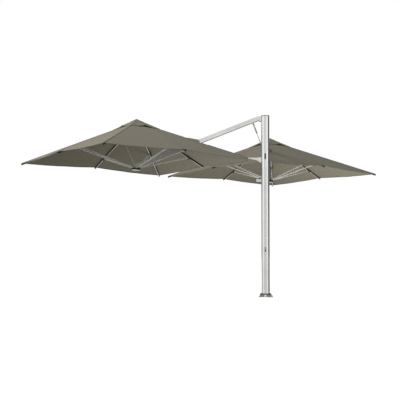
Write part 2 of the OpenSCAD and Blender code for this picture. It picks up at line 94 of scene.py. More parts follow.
def linear(hex_colour: str) -> tuple[float, float, float, float]:
    """Turns an sRGB hex colour into linear RGBA.

    Args:
        hex_colour: Six hex digits, with or without a leading hash.

    Returns:
        Linear red, green and blue from 0 to 1, and an alpha of 1.
    """
    digits = hex_colour.lstrip("#")
    srgb = [int(digits[i : i + 2], 16) / 255 for i in (0, 2, 4)]
    red, green, blue = (c / 12.92 if c <= 0.04045 else ((c + 0.055) / 1.055) ** 2.4 for c in srgb)
    return (red, green, blue, 1.0)


def add_node(
    tree: bpy.types.NodeTree,
    kind: str,
    settings: dict[str, object] | None = None,
    inputs: dict[str | int, object] | None = None,
) -> bpy.types.Node:
    """Adds a node, sets its properties, and fills or links its sockets.

    Args:
        tree: The node tree that gets the node.
        kind: Blender's name for the node's type.
        settings: Properties of the node by name.
        inputs: Socket name or place, with the value it holds or the output that feeds it.

    Returns:
        The new node.
    """
    node = tree.nodes.new(kind)
    for name, value in (settings or {}).items():
        setattr(node, name, value)
    for socket, value in (inputs or {}).items():
        if isinstance(value, bpy.types.NodeSocket):
            tree.links.new(value, node.inputs[socket])
        else:
            node.inputs[socket].default_value = value
    return node


def new_material(name: str) -> tuple[bpy.types.Material, bpy.types.NodeTree]:
    """Makes a material with an empty node tree.

    Args:
        name: The finish's name.

    Returns:
        The material and its tree.
    """
    material = bpy.data.materials.new(name)
    material.use_nodes = True
    material.node_tree.nodes.clear()
    return material, material.node_tree


# Places of the sockets of a colour Mix node, whose names repeat for each data type
MIX_FACTOR, MIX_A, MIX_B, MIX_RESULT = 0, 6, 7, 2

# The UV layer that holds a cloth's own flat metres
CLOTH_UV = "cloth_metres"


# ---------------------------------------------------------------- finishes


# A die streak's length over its width
STREAK_LENGTH = 120


@dataclass(frozen=True)
class ExtrudedAluminium:
    """Satin anodised aluminium extrusion. The die leaves faint streaks, so gloss runs in soft lines."""

    name: str
    colour: str
    dull_colour: str
    roughness: float = 0.34
    streak_mm: float = 3.0
    streak_axis: int = 2
    metallic: float = 0.85

    def build(self) -> bpy.types.Material:
        """Returns the material."""
        material, tree = new_material(self.name)
        place = add_node(tree, "ShaderNodeTexCoord").outputs["Object"]
        across = 1 / (self.streak_mm * MM)
        scale = [across, across, across]
        scale[self.streak_axis] = across / STREAK_LENGTH
        mapped = add_node(tree, "ShaderNodeMapping", None, {"Vector": place, "Scale": scale})
        streaks = add_node(
            tree, "ShaderNodeTexNoise", None, {"Vector": mapped.outputs[0], "Scale": 1.0, "Detail": 3.0}
        )
        # Handling and weather leave broad, faint clouds on the anodised skin
        clouds = add_node(
            tree, "ShaderNodeTexNoise", None, {"Vector": place, "Scale": 3.5, "Detail": 4.0}
        )
        blend = add_node(
            tree, "ShaderNodeMath", {"operation": "MULTIPLY"}, {0: streaks.outputs[0], 1: clouds.outputs[0]}
        )
        share = add_node(
            tree,
            "ShaderNodeMapRange",
            None,
            {"Value": blend.outputs[0], "From Min": 0.15, "From Max": 0.38, "To Min": 0.0, "To Max": 1.0},
        )
        colour = add_node(
            tree,
            "ShaderNodeMix",
            {"data_type": "RGBA"},
            {MIX_FACTOR: share.outputs[0], MIX_A: linear(self.dull_colour), MIX_B: linear(self.colour)},
        )
        gloss = add_node(
            tree,
            "ShaderNodeMapRange",
            None,
            {
                "Value": streaks.outputs[0],
                "From Min": 0.3,
                "From Max": 0.7,
                "To Min": self.roughness + 0.07,
                "To Max": self.roughness - 0.05,
            },
        )
        bump = add_node(
            tree, "ShaderNodeBump", None, {"Height": streaks.outputs[0], "Strength": 0.12, "Distance": 0.0004}
        )
        shader = add_node(
            tree,
            "ShaderNodeBsdfPrincipled",
            None,
            {
                "Base Color": colour.outputs[MIX_RESULT],
                "Metallic": self.metallic,
                "Roughness": gloss.outputs[0],
                "Normal": bump.outputs[0],
            },
        )
        add_node(tree, "ShaderNodeOutputMaterial", None, {"Surface": shader.outputs[0]})
        return material


@dataclass(frozen=True)
class MouldedPolymer:
    """Moulded nylon or rubber. A fine spark texture breaks its highlights and dust greys it a little."""

    name: str
    colour: str
    dust_colour: str
    roughness: float
    grain_mm: float = 1.6
    bump_strength: float = 0.25
    ior: float = 1.53

    def build(self) -> bpy.types.Material:
        """Returns the material."""
        material, tree = new_material(self.name)
        place = add_node(tree, "ShaderNodeTexCoord").outputs["Object"]
        grain = add_node(
            tree,
            "ShaderNodeTexNoise",
            None,
            {"Vector": place, "Scale": 1 / (self.grain_mm * MM), "Detail": 2.0},
        )
        dust = add_node(
            tree, "ShaderNodeTexNoise", None, {"Vector": place, "Scale": 24.0, "Detail": 5.0}
        )
        share = add_node(
            tree, "ShaderNodeMapRange", None, {"Value": dust.outputs[0], "From Min": 0.42, "From Max": 0.75}
        )
        colour = add_node(
            tree,
            "ShaderNodeMix",
            {"data_type": "RGBA"},
            {MIX_FACTOR: share.outputs[0], MIX_A: linear(self.colour), MIX_B: linear(self.dust_colour)},
        )
        gloss = add_node(
            tree,
            "ShaderNodeMapRange",
            None,
            {"Value": dust.outputs[0], "To Min": self.roughness - 0.08, "To Max": self.roughness + 0.12},
        )
        bump = add_node(
            tree,
            "ShaderNodeBump",
            None,
            {"Height": grain.outputs[0], "Strength": self.bump_strength, "Distance": 0.0003},
        )
        shader = add_node(
            tree,
            "ShaderNodeBsdfPrincipled",
            None,
            {
                "Base Color": colour.outputs[MIX_RESULT],
                "Roughness": gloss.outputs[0],
                "IOR": self.ior,
                "Normal": bump.outputs[0],
            },
        )
        add_node(tree, "ShaderNodeOutputMaterial", None, {"Surface": shader.outputs[0]})
        return material


@dataclass(frozen=True)
class PaintedMetal:
    """Powder-coated or painted metal. The coat levels into orange peel, and rubs thin where it is handled."""

    name: str
    colour: str
    worn_colour: str
    roughness: float
    peel_mm: float = 2.5
    ior: float = 1.5

    def build(self) -> bpy.types.Material:
        """Returns the material."""
        material, tree = new_material(self.name)
        place = add_node(tree, "ShaderNodeTexCoord").outputs["Object"]
        peel = add_node(
            tree,
            "ShaderNodeTexNoise",
            None,
            {"Vector": place, "Scale": 1 / (self.peel_mm * MM), "Detail": 1.0},
        )
        rubbed = add_node(
            tree, "ShaderNodeTexNoise", None, {"Vector": place, "Scale": 30.0, "Detail": 6.0}
        )
        share = add_node(
            tree, "ShaderNodeMapRange", None, {"Value": rubbed.outputs[0], "From Min": 0.5, "From Max": 0.8}
        )
        colour = add_node(
            tree,
            "ShaderNodeMix",
            {"data_type": "RGBA"},
            {MIX_FACTOR: share.outputs[0], MIX_A: linear(self.colour), MIX_B: linear(self.worn_colour)},
        )
        gloss = add_node(
            tree,
            "ShaderNodeMapRange",
            None,
            {"Value": rubbed.outputs[0], "To Min": self.roughness - 0.1, "To Max": self.roughness + 0.12},
        )
        bump = add_node(
            tree, "ShaderNodeBump", None, {"Height": peel.outputs[0], "Strength": 0.2, "Distance": 0.0004}
        )
        shader = add_node(
            tree,
            "ShaderNodeBsdfPrincipled",
            None,
            {
                "Base Color": colour.outputs[MIX_RESULT],
                "Roughness": gloss.outputs[0],
                "IOR": self.ior,
                "Normal": bump.outputs[0],
            },
        )
        add_node(tree, "ShaderNodeOutputMaterial", None, {"Surface": shader.outputs[0]})
        return material


@dataclass(frozen=True)
class WovenAcrylic:
    """Solution-dyed acrylic canvas in plain weave: matt, with a soft lint sheen and slubs that mottle it.

    The real threads are about 0.5 mm apart. They are drawn 4 or 5 mm apart, so that the weave shows at all.
    """

    name: str
    colour: str
    slub_colour: str
    thread_mm: float = 5.0
    roughness: float = 0.88
    sheen: float = 0.06

    def build(self) -> bpy.types.Material:
        """Returns the material."""
        material, tree = new_material(self.name)
        cloth = add_node(tree, "ShaderNodeUVMap", {"uv_map": CLOTH_UV})
        waves = [
            add_node(
                tree,
                "ShaderNodeTexWave",
                {"wave_type": "BANDS", "bands_direction": axis},
                {
                    "Vector": cloth.outputs[0],
                    # A wave texture at scale 1 has a period of pi / 10
                    "Scale": math.pi / (10 * self.thread_mm * MM),
                    "Distortion": 0.8,
                    "Detail": 1.0,
                },
            )
            for axis in ("X", "Y")
        ]
        weave = add_node(
            tree, "ShaderNodeMath", {"operation": "MAXIMUM"}, {0: waves[0].outputs[1], 1: waves[1].outputs[1]}
        )
        slubs = add_node(
            tree,
            "ShaderNodeTexNoise",
            None,
            {"Vector": cloth.outputs[0], "Scale": 14.0, "Detail": 6.0, "Roughness": 0.65},
        )
        tone = add_node(
            tree,
            "ShaderNodeMath",
            {"operation": "MULTIPLY_ADD"},
            {0: weave.outputs[0], 1: 0.35, 2: slubs.outputs[0]},
        )
        share = add_node(
            tree, "ShaderNodeMapRange", None, {"Value": tone.outputs[0], "From Min": 0.45, "From Max": 1.05}
        )
        colour = add_node(
            tree,
            "ShaderNodeMix",
            {"data_type": "RGBA"},
            {MIX_FACTOR: share.outputs[0], MIX_A: linear(self.slub_colour), MIX_B: linear(self.colour)},
        )
        gloss = add_node(
            tree,
            "ShaderNodeMapRange",
            None,
            {"Value": slubs.outputs[0], "To Min": self.roughness - 0.08, "To Max": self.roughness + 0.06},
        )
        bump = add_node(
            tree, "ShaderNodeBump", None, {"Height": weave.outputs[0], "Strength": 0.18, "Distance": 0.0008}
        )
        shader = add_node(
            tree,
            "ShaderNodeBsdfPrincipled",
            None,
            {
                "Base Color": colour.outputs[MIX_RESULT],
                "Roughness": gloss.outputs[0],
                "IOR": 1.46,
                "Sheen Weight": self.sheen,
                "Sheen Roughness": 0.5,
                "Specular IOR Level": 0.08,
                "Normal": bump.outputs[0],
            },
        )
        add_node(tree, "ShaderNodeOutputMaterial", None, {"Surface": shader.outputs[0]})
        return material


class Finish(Enum):
    """Every finish on the parasol."""

    MAST = ExtrudedAluminium("anodised_mast", "#f2f2ef", "#e4e4e0", 0.21, 4.0, 2, 0.92)
    # A darker copy of the mast's aluminium: painted shade on the chamfers
    CHAMFER = ExtrudedAluminium("anodised_mast_chamfer_painted_shade", "#c6c7c3", "#b6b7b3", 0.26, 4.0, 2, 0.92)
    CHANNEL = ExtrudedAluminium("matt_anodised_channel", "#d6d8d9", "#c8cacc", 0.34, 4.0, 2)
    ARM_LEFT = ExtrudedAluminium("anodised_left_arm", "#dcdcd9", "#c9c9c5", 0.34, 4.0, 0)
    ARM_REAR = ExtrudedAluminium("anodised_rear_arm", "#dcdcd9", "#c9c9c5", 0.34, 4.0, 1)
    RIB = ExtrudedAluminium("anodised_ribs", "#ecece6", "#dadad3", 0.40, 2.5, 2, 0.45)
    STRUT = ExtrudedAluminium("anodised_struts", "#f0f0eb", "#e0e0da", 0.40, 2.5, 2, 0.4)
    BRACKET = ExtrudedAluminium("machined_brackets", "#dededb", "#c6c6c2", 0.36, 2.0, 2)
    WEDGE = ExtrudedAluminium("bright_cast_wedges", "#f6f6f4", "#e8e8e5", 0.38, 2.0, 2, 0.3)
    STEEL = ExtrudedAluminium("polished_stainless_steel", "#d6d7d8", "#bfc1c3", 0.24, 1.5, 2, 1.0)
    NYLON = MouldedPolymer("black_glass_filled_nylon", "#1b1c1d", "#2c2d2e", 0.5)
    # Charcoal painted shade: the dark line under each arm beam
    STRIP = MouldedPolymer("painted_shade_under_arm_beams", "#3a3b3c", "#4c4d4e", 0.55)
    HUB_NYLON = MouldedPolymer("charcoal_nylon_hub", "#303236", "#44474b", 0.5)
    RUBBER = MouldedPolymer("black_rubber", "#17181a", "#26282a", 0.78, 2.2, 0.4)
    COLLAR = PaintedMetal("khaki_painted_casting", "#938e7a", "#a5a18d", 0.45)
    # Charcoal painted shadow: the dark band over the collar's top
    COLLAR_TOP = PaintedMetal("collar_top_painted_shadow", "#242420", "#383833", 0.42)
    GAS_PAINT = PaintedMetal("grey_brown_gas_cylinder_paint", "#a79d8f", "#b5ac9e", 0.38)
    ROD = ExtrudedAluminium("hard_chromed_rod", "#7e7e7c", "#70706e", 0.3, 1.5, 2)
    CLOTH = WovenAcrylic("taupe_acrylic_canvas", "#7f7a6b", "#726d5f")
    HEM = WovenAcrylic("taupe_acrylic_hem", "#787364", "#6a6557", 4.0)


class Palette:
    """Builds each finish once and hands it out."""

    def __init__(self) -> None:
        """Starts with nothing built."""
        self._built: dict[Finish, bpy.types.Material] = {}

    def __getitem__(self, finish: Finish) -> bpy.types.Material:
        """Returns the material of a finish."""
        if finish not in self._built:
            self._built[finish] = finish.value.build()
        return self._built[finish]


# ---------------------------------------------------------------- places


class Side(Enum):
    """The umbrella's side of the mast. The left arm runs along -X and the rear arm along +Y."""

    LEFT = "left"
    REAR = "rear"

    @property
    def turn(self) -> Matrix:
        """The turn about Z that takes the left umbrella's directions to this side's."""
        return Matrix.Rotation(0 if self is Side.LEFT else -math.pi / 2, 4, "Z")

    @property
    def arm_finish(self) -> Finish:
        """The arm's finish, whose streaks run along this arm."""
        return Finish.ARM_LEFT if self is Side.LEFT else Finish.ARM_REAR


class Kind(Enum):
    """A rib that runs to a corner of the canopy, or to the middle of an edge."""

    CORNER = "corner"
    MIDDLE = "middle"


@dataclass(frozen=True)
class Spoke:
    """One rib with its strut, named by side, kind and number. Numbers run anticlockwise from the mast."""

    side: Side
    kind: Kind
    number: int

    @property
    def rib(self) -> str:
        """The rib's node and body."""
        return f"{self.side.value}_{self.kind.value}_rib_{self.number}"

    @property
    def strut(self) -> str:
        """The strut's node and body."""
        return f"{self.side.value}_{self.kind.value}_strut_{self.number}"

    @property
    def azimuth(self) -> float:
        """Its direction in the canopy's own frame, whose +X points at the mast."""
        start = 0 if self.kind is Kind.CORNER else 45
        return math.radians(start + 90 * (self.number - 1))

    @property
    def by_mast(self) -> bool:
        """Whether this is the short corner rib that folds down between the arm's beams."""
        return self.kind is Kind.CORNER and self.number == 1

    @property
    def outward(self) -> Vector:
        """Its level direction away from the canopy's axis, in the row frame."""
        own = Vector((math.cos(self.azimuth), math.sin(self.azimuth), 0))
        return (self.side.turn @ own).normalized()


def all_spokes(side: Side) -> list[Spoke]:
    """Returns the eight spokes of one canopy."""
    return [Spoke(side, kind, number) for kind in Kind for number in range(1, 5)]


def joint_named(frame: dict, name: str) -> dict:
    """Returns a joint of the frame by its name."""
    return next(joint for joint in frame["joints"] if joint["name"] == name)


def joint_place(frame: dict, name: str) -> Vector:
    """Returns the place of a named joint, in the row frame."""
    return Vector(joint_named(frame, name)["pos_m"])


def apex_height(frame: dict, side: Side) -> float:
    """Returns the height where a canopy's slopes would meet."""
    return joint_named(frame, f"{side.value}_crown_rise")["deforming_nodes"][0]["fixed_end_z_m"]


def facing(point: Vector, direction: Vector) -> Matrix:
    """Places a piece drawn along +Z.

    Args:
        point: Where its origin goes.
        direction: Where its +Z points.

    Returns:
        The matrix that does it.
    """
    return Matrix.Translation(point) @ direction.to_track_quat("Z", "Y").to_matrix().to_4x4()


def along_rib(origin: Vector, outward: Vector, slope: float) -> Matrix:
    """Returns a frame at a pivot with +X down the rib, +Y across it and +Z out of the cloth.

    Args:
        origin: The pivot.
        outward: The level direction of the rib.
        slope: Its fall below level, in radians.

    Returns:
        The frame as a matrix.
    """
    down = (outward * math.cos(slope) - UP * math.sin(slope)).normalized()
    over = UP.cross(outward).normalized()
    normal = down.cross(over).normalized()
    turn = Matrix((down, over, normal)).transposed().to_4x4()
    return Matrix.Translation(origin) @ turn


# ---------------------------------------------------------------- meshes


Drawing = Callable[[bmesh.types.BMesh], None]


def piece(
    name: str, draw: Iterable[Drawing], material: bpy.types.Material, smooth: float = 40
) -> bpy.types.Object:
    """Makes one mesh object from several drawings.

    Args:
        name: The piece's name.
        draw: Functions that each add a shape to the mesh.
        material: Its material.
        smooth: Edges sharper than this, in degrees, stay sharp.

    Returns:
        The object, at the row frame's origin.
    """
    mesh = bpy.data.meshes.new(name)
    bm = bmesh.new()
    for drawing in draw:
        drawing(bm)
    bmesh.ops.recalc_face_normals(bm, faces=bm.faces)
    for edge in bm.edges:
        edge.smooth = len(edge.link_faces) == 2 and edge.calc_face_angle(0) < math.radians(smooth)
    for face in bm.faces:
        face.smooth = True
    bm.to_mesh(mesh)
    bm.free()
    obj = bpy.data.objects.new(name, mesh)
    bpy.context.scene.collection.objects.link(obj)
    obj.data.materials.append(material)
    return obj


def lathe(profile: Sequence[tuple[float, float]], place: Matrix, segments: int = 32) -> Drawing:
    """Returns a drawing of a profile of radius and height turned about Z, then placed.

    Args:
        profile: Points from the axis at the bottom round to the axis at the top.
        place: Where the shape goes.
        segments: Sides of the turned shape.
    """

    def draw(bm: bmesh.types.BMesh) -> None:
        rings: list[list[bmesh.types.BMVert]] = []
        for radius, height in profile:
            count = 1 if radius == 0 else segments
            rings.append(
                [
                    bm.verts.new(place @ Vector((radius * math.cos(a), radius * math.sin(a), height)))
                    for a in (2 * math.pi * i / segments for i in range(count))
                ]
            )
        for low, high in zip(rings, rings[1:]):
            for i in range(segments):
                corners = [
                    low[i % len(low)],
                    low[(i + 1) % len(low)],
                    high[(i + 1) % len(high)],
                    high[i % len(high)],
                ]
                bm.faces.new(list(dict.fromkeys(corners)))

    return draw


def bolt(radius: float, height: float, place: Matrix) -> list[Drawing]:
    """Returns drawings of a hexagon bolt head with a chamfered top on its round washer.

    Args:
        radius: Across the head's corners, halved.
        height: Of the head over the washer.
        place: At the surface it sits on, +Z out of it.
    """
    washer_t = height * 0.25
    top = washer_t + height
    washer_r = radius * 1.35
    washer = [(0, 0), (washer_r, 0), (washer_r, washer_t * 0.7), (radius * 1.28, washer_t), (0, washer_t)]
    head = [
        (0, washer_t * 0.9),
        (radius, washer_t * 0.9),
        (radius, top - height * 0.16),
        (radius * 0.86, top),
        (radius * 0.45, top),
        (radius * 0.4, top - height * 0.1),
        (0, top - height * 0.1),
    ]
    return [lathe(washer, place, 28), lathe(head, place, 6)]


def pin_head(radius: float, height: float, place: Matrix) -> Drawing:
    """Returns a drawing of a domed button head with a driver recess, sitting on the place's XY plane.

    Args:
        radius: Of the head.
        height: Of its top over the plane.
        place: Where it sits.

    Returns:
        The drawing.
    """
    profile = [
        (0, 0),
        (radius, 0),
        (radius, height * 0.3),
        (radius * 0.86, height * 0.75),
        (radius * 0.55, height),
        (radius * 0.32, height),
        (radius * 0.3, height * 0.5),
        (0, height * 0.5),
    ]
    return lathe(profile, place, 20)


def rounded_block(size: Sequence[float], radius: float, place: Matrix, steps: int = 3) -> Drawing:
    """Returns a drawing of a box with rounded edges, centred on the place.

    Args:
        size: Its length, width and height.
        radius: Of the rounding.
        place: Where its centre goes.
        steps: Segments of the rounding.
    """

    def draw(bm: bmesh.types.BMesh) -> None:
        made = bmesh.ops.create_cube(bm, size=1.0)
        verts = made["verts"]
        for vert in verts:
            vert.co = Vector([c * s for c, s in zip(vert.co, size)])
        edges = list({edge for vert in verts for edge in vert.link_edges})
        rounded = bmesh.ops.bevel(
            bm, geom=edges, offset=radius, segments=steps, profile=0.5, affect="EDGES", clamp_overlap=True
        )
        moved = {vert for face in rounded["faces"] for vert in face.verts}
        moved |= {vert for vert in verts if vert.is_valid}
        for vert in moved:
            vert.co = place @ vert.co

    return draw


def soften(obj: bpy.types.Object, width: float, segments: int = 2) -> None:
    """Rounds the edges of a frame part with modifiers, which leave its mesh as it is.

    Args:
        obj: The frame part.
        width: Of the rounding.
        segments: Steps of the rounding.
    """
    weld = obj.modifiers.new("weld", "WELD")
    weld.merge_threshold = 0.00002
    bevel = obj.modifiers.new("edges", "BEVEL")
    bevel.width = width
    bevel.segments = segments
    bevel.limit_method = "ANGLE"
    bevel.angle_limit = math.radians(40)
    bevel.harden_normals = True


# ---------------------------------------------------------------- cloth


@dataclass(frozen=True)
class Roof:
    """Eight slopes between corner ribs and middle ribs, in the canopy's own frame.

    Attributes:
        apex_z: Height where the slopes meet.
        corner_r: Distance from the axis to a corner.
        corner_drop: Fall from the apex to a corner.
        edge_drop: Fall from the apex to the middle of an edge.
        hole_r: Distance from the axis to a corner of the hole in the middle.
        sag: How far the cloth sinks between two ribs at the hem.
        scallop: How far the hem draws in between two ribs, as a share of the distance from the axis.
        flutter: Height of the small tension folds.
    """

    apex_z: float
    corner_r: float
    corner_drop: float
    edge_drop: float
    hole_r: float
    sag: float
    scallop: float
    flutter: float

    @property
    def edge_r(self) -> float:
        """Distance from the axis to the middle of an edge."""
        return self.corner_r / math.sqrt(2)

    def shares(self, x: float, y: float) -> tuple[float, float]:
        """Returns a point's shares of the nearest corner and of the nearest middle of an edge.

        Args:
            x: Place along the canopy's own X.
            y: Place along its own Y.

        Returns:
            The share of the corner, and that of the middle of an edge.
        """
        turn = math.atan2(y, x) % (math.pi / 2)
        turn = min(turn, math.pi / 2 - turn)
        reach = math.hypot(x, y)
        middle = reach * math.sin(turn) / (self.edge_r * math.sin(math.pi / 4))
        corner = (reach * math.cos(turn) - middle * self.edge_r * math.cos(math.pi / 4)) / self.corner_r
        return corner, middle

    def height(self, x: float, y: float) -> float:
        """Returns the height of the cloth at a point."""
        corner, middle = self.shares(x, y)
        total = max(corner + middle, 1e-6)
        between = 4 * corner * middle / total**2
        fold = noise.noise(Vector((x * 9.0, y * 9.0, self.apex_z))) * 0.6
        fold += noise.noise(Vector((x * 3.1, y * 3.1, self.corner_r)))
        fall = corner * self.corner_drop + middle * self.edge_drop
        return self.apex_z - fall - between * (self.sag * total**1.5 - self.flutter * fold)

    def rim(self, azimuth: float) -> float:
        """Returns the distance from the axis to the hem in one direction.

        Args:
            azimuth: The direction, in radians.

        Returns:
            The distance in metres.
        """
        turn = azimuth % (math.pi / 2)
        turn = min(turn, math.pi / 2 - turn)
        straight = self.edge_r / math.cos(math.pi / 4 - turn)
        corner, middle = self.shares(straight * math.cos(turn), straight * math.sin(turn))
        along = middle / (corner + middle)
        return straight * (1 - self.scallop * 4 * along * (1 - along))

    def hole(self, azimuth: float) -> float:
        """Returns the distance from the axis to the hole's edge in one direction."""
        turn = azimuth % (math.pi / 2)
        return self.hole_r / math.sqrt(2) / math.cos(math.pi / 4 - turn)


@dataclass(frozen=True)
class Panel:
    """Half of the cloth over one rib, from the rib to halfway to its neighbour.

    Attributes:
        spoke: The rib that carries it.
        hand: 1 for the half that is anticlockwise of the rib, seen from above, and -1 for the other.
        roof: The surface that it lies on.
        columns: Steps across it.
        rows: Steps from the hole to the hem.
        cut_r: Where the corner by the mast is cut short, or None.
        slot: The two ends and half the width of the arm's slot, or None.
    """

    spoke: Spoke
    hand: int
    roof: Roof
    columns: int
    rows: int
    cut_r: float | None = None
    slot: tuple[float, float, float] | None = None

    def line(self, column: int) -> tuple[Vector, Vector]:
        """Returns the inner and outer ends of a line of the cloth's grid, with +X along the rib."""
        share = column / self.columns
        half_turn = math.radians(22.5)
        own = self.spoke.azimuth
        if self.slot is None:
            turn = half_turn * share
            inner, outer = self.roof.hole(own + turn), self.roof.rim(own + turn)
            ends = Vector((inner * math.cos(turn), inner * math.sin(turn))), Vector(
                (outer * math.cos(turn), outer * math.sin(turn))
            )
        else:
            # The first strip keeps the slot's width, and the rest fan out from it
            half_w = self.slot[2]
            inner_far = self.roof.hole(half_turn) * math.sin(half_turn)
            outer_far = self.roof.rim(half_turn) * math.sin(half_turn)
            spread = 0.0 if column == 0 else (column - 1) / (self.columns - 1)
            inner_y = 0.0 if column == 0 else half_w + (inner_far - half_w) * spread
            outer_y = 0.0 if column == 0 else half_w + (outer_far - half_w) * spread
            outer_x = self.roof.corner_r - outer_y
            ends = Vector((self.roof.hole_r - inner_y, inner_y)), Vector((outer_x, outer_y))
            if column < self.columns:
                bow = math.atan2(outer_y, outer_x)
                ends = ends[0], ends[1] * (self.roof.rim(bow) / ends[1].length)
            else:
                reach = self.roof.rim(half_turn)
                ends = ends[0], Vector((reach * math.cos(half_turn), reach * math.sin(half_turn)))
        if self.cut_r is not None and ends[1].x > self.cut_r:
            part = (self.cut_r - ends[0].x) / (ends[1].x - ends[0].x)
            ends = ends[0], ends[0].lerp(ends[1], part)
        return ends

    def spot(self, column: int, share: float, lift: float = 0.0) -> Vector:
        """Returns a point of the cloth in the canopy's own frame, raised by lift.

        Args:
            column: Which line of the grid, counted from the rib.
            share: How far down it, from 0 to 1.
            lift: Height over the cloth.

        Returns:
            The point.
        """
        inner, outer = self.line(column)
        flat = inner.lerp(outer, share)
        turn = self.spoke.azimuth
        side_y = flat.y * self.hand
        x = flat.x * math.cos(turn) - side_y * math.sin(turn)
        y = flat.x * math.sin(turn) + side_y * math.cos(turn)
        return Vector((x, y, self.roof.height(x, y) + lift))

    def flat_area(self) -> float:
        """Returns the area of the flat cut, from the two straight sides and the hem between them.

        Returns:
            The area in square metres.
        """
        area = 0.0
        for column in range(self.columns):
            a, b = self.spot(column, 0), self.spot(column, 1)
            c, d = self.spot(column + 1, 1), self.spot(column + 1, 0)
            area += (b - a).cross(c - a).length / 2 + (c - a).cross(d - a).length / 2
        return area

    def flat_size(self) -> tuple[float, float]:
        """Returns the width and length of the flat cut: across the rib, and down it.

        Returns:
            The width and the length in metres.
        """
        top, tip = self.spot(0, 0), self.spot(0, 1)
        down = (tip - top).normalized()
        width = length = 0.0
        for column in range(self.columns + 1):
            for share in (0.0, 1.0):
                reach = self.spot(column, share) - top
                length = max(length, reach.dot(down))
                width = max(width, (reach - down * reach.dot(down)).length)
        return width, length

    def fold_axis(self) -> Vector:
        """Returns the direction across the cloth away from its rib, in the cloth's own slope.

        Returns:
            The direction as a unit vector.
        """
        top, tip = self.spot(0, 0), self.spot(0, 1)
        down = (tip - top).normalized()
        across = self.spot(self.columns, 0.9) - top
        return (across - down * across.dot(down)).normalized()


@dataclass(frozen=True)
class Hood:
    """The raised flap over the arm's way out through the cloth.

    Attributes:
        start: Distance from the canopy's axis to where it starts to rise.
        end: Distance to its open end.
        half_w: Half of its width.
        crown_half_w: Half of the width of its level middle.
        seam: Height over the cloth where it is sewn down.
        rise: Height of its open end over that.
        rows: Steps along it.
        columns: Steps across half of it.
    """

    start: float = 0.890
    end: float = 1.125
    half_w: float = 0.060
    crown_half_w: float = 0.034
    seam: float = 0.003
    rise: float = 0.036
    rows: int = 8
    columns: int = 5

    def height(self, along: float, beside: float) -> float:
        """Returns the flap's height over the cloth at a point along and beside the rib."""
        share = min(1.0, (along - self.start) / (self.end - self.start))
        flank = min(1.0, max(0.0, (beside - self.crown_half_w) / (self.half_w - self.crown_half_w)))
        return self.seam + self.rise * share**0.8 * (1 - flank * flank * (3 - 2 * flank))

    def add(
        self,
        panel: Panel,
        place: Matrix,
        bm: bmesh.types.BMesh,
        add_face: Callable[[list[bmesh.types.BMVert], list[Vector]], None],
    ) -> None:
        """Adds half of the flap to a panel's mesh.

        Args:
            panel: The panel it is sewn to.
            place: Takes the canopy's own frame to the row frame.
            bm: The mesh that gets it.
            add_face: Adds a face from its vertices and their places in the own frame.
        """
        spots: dict[tuple[int, int], Vector] = {}
        for row in range(self.rows + 1):
            for column in range(self.columns + 1):
                x = self.start + (self.end - self.start) * row / self.rows
                y = self.half_w * column / self.columns
                own_y = y * panel.hand
                spots[row, column] = Vector((x, own_y, panel.roof.height(x, own_y) + self.height(x, y)))
        verts = {key: bm.verts.new(place @ spot) for key, spot in spots.items()}
        for row in range(self.rows):
            for column in range(self.columns):
                keys = [(row, column), (row + 1, column), (row + 1, column + 1), (row, column + 1)]
                add_face([verts[key] for key in keys], [spots[key] for key in keys])


def panel_mesh(
    name: str,
    panel: Panel,
    place: Matrix,
    material: bpy.types.Material,
    thickness: float,
    first_share: float = 0.0,
    lift: float = 0.0,
    hood: Hood | None = None,
) -> bpy.types.Object:
    """Makes the mesh of a panel or of a band along its hem.

    Args:
        name: The piece's name.
        panel: The panel it lies on.
        place: Takes the canopy's own frame to the row frame.
        material: Its cloth.
        thickness: Of the cloth, downwards.
        first_share: Where down the panel it starts.
        lift: Height of its top over the panel's surface.
        hood: The flap over the arm's way out, where there is one.

    Returns:
        The piece.
    """
    bm = bmesh.new()
    uv = bm.loops.layers.uv.new(CLOTH_UV)
    grid: dict[tuple[int, int], bmesh.types.BMVert] = {}
    rows = panel.rows if first_share == 0 else 3
    shares = [first_share + (1 - first_share) * row / rows for row in range(rows + 1)]
    if panel.slot and first_share == 0:
        inner, outer = panel.line(0)
        ends = [(end - inner.x) / (outer.x - inner.x) for end in panel.slot[:2]]
        for end in ends:
            nearest = min(range(1, rows), key=lambda i: abs(shares[i] - end))
            shares[nearest] = end
    for row, share in enumerate(shares):
        for column in range(panel.columns + 1):
            grid[row, column] = bm.verts.new(place @ panel.spot(column, share, lift))
    top_left, down = panel.spot(0, 0), (panel.spot(0, 1) - panel.spot(0, 0)).normalized()
    axis = panel.fold_axis()

    def add_face(corners: list[bmesh.types.BMVert], spots: list[Vector]) -> None:
        face = bm.faces.new(corners if panel.hand > 0 else corners[::-1])
        face.smooth = True
        own = dict(zip(corners, spots))
        for loop in face.loops:
            offset = own[loop.vert] - top_left
            loop[uv].uv = (offset.dot(axis), offset.dot(down))

    for row in range(rows):
        for column in range(panel.columns):
            if panel.slot and first_share == 0 and column == 0:
                middle_r = panel.line(0)[0].lerp(panel.line(0)[1], (shares[row] + shares[row + 1]) / 2).x
                if panel.slot[0] < middle_r < panel.slot[1]:
                    continue
            keys = [(row, column), (row + 1, column), (row + 1, column + 1), (row, column + 1)]
            add_face([grid[key] for key in keys], [panel.spot(key[1], shares[key[0]], lift) for key in keys])
    if hood:
        hood.add(panel, place, bm, add_face)
    bmesh.ops.recalc_face_normals(bm, faces=bm.faces)
    average_z = sum(face.normal.z for face in bm.faces)
    if average_z < 0:
        bmesh.ops.reverse_faces(bm, faces=bm.faces)
    mesh = bpy.data.meshes.new(name)
    bm.to_mesh(mesh)
    bm.free()
    obj = bpy.data.objects.new(name, mesh)
    bpy.context.scene.collection.objects.link(obj)
    obj.data.materials.append(material)
    thicken(obj, thickness)
    return obj


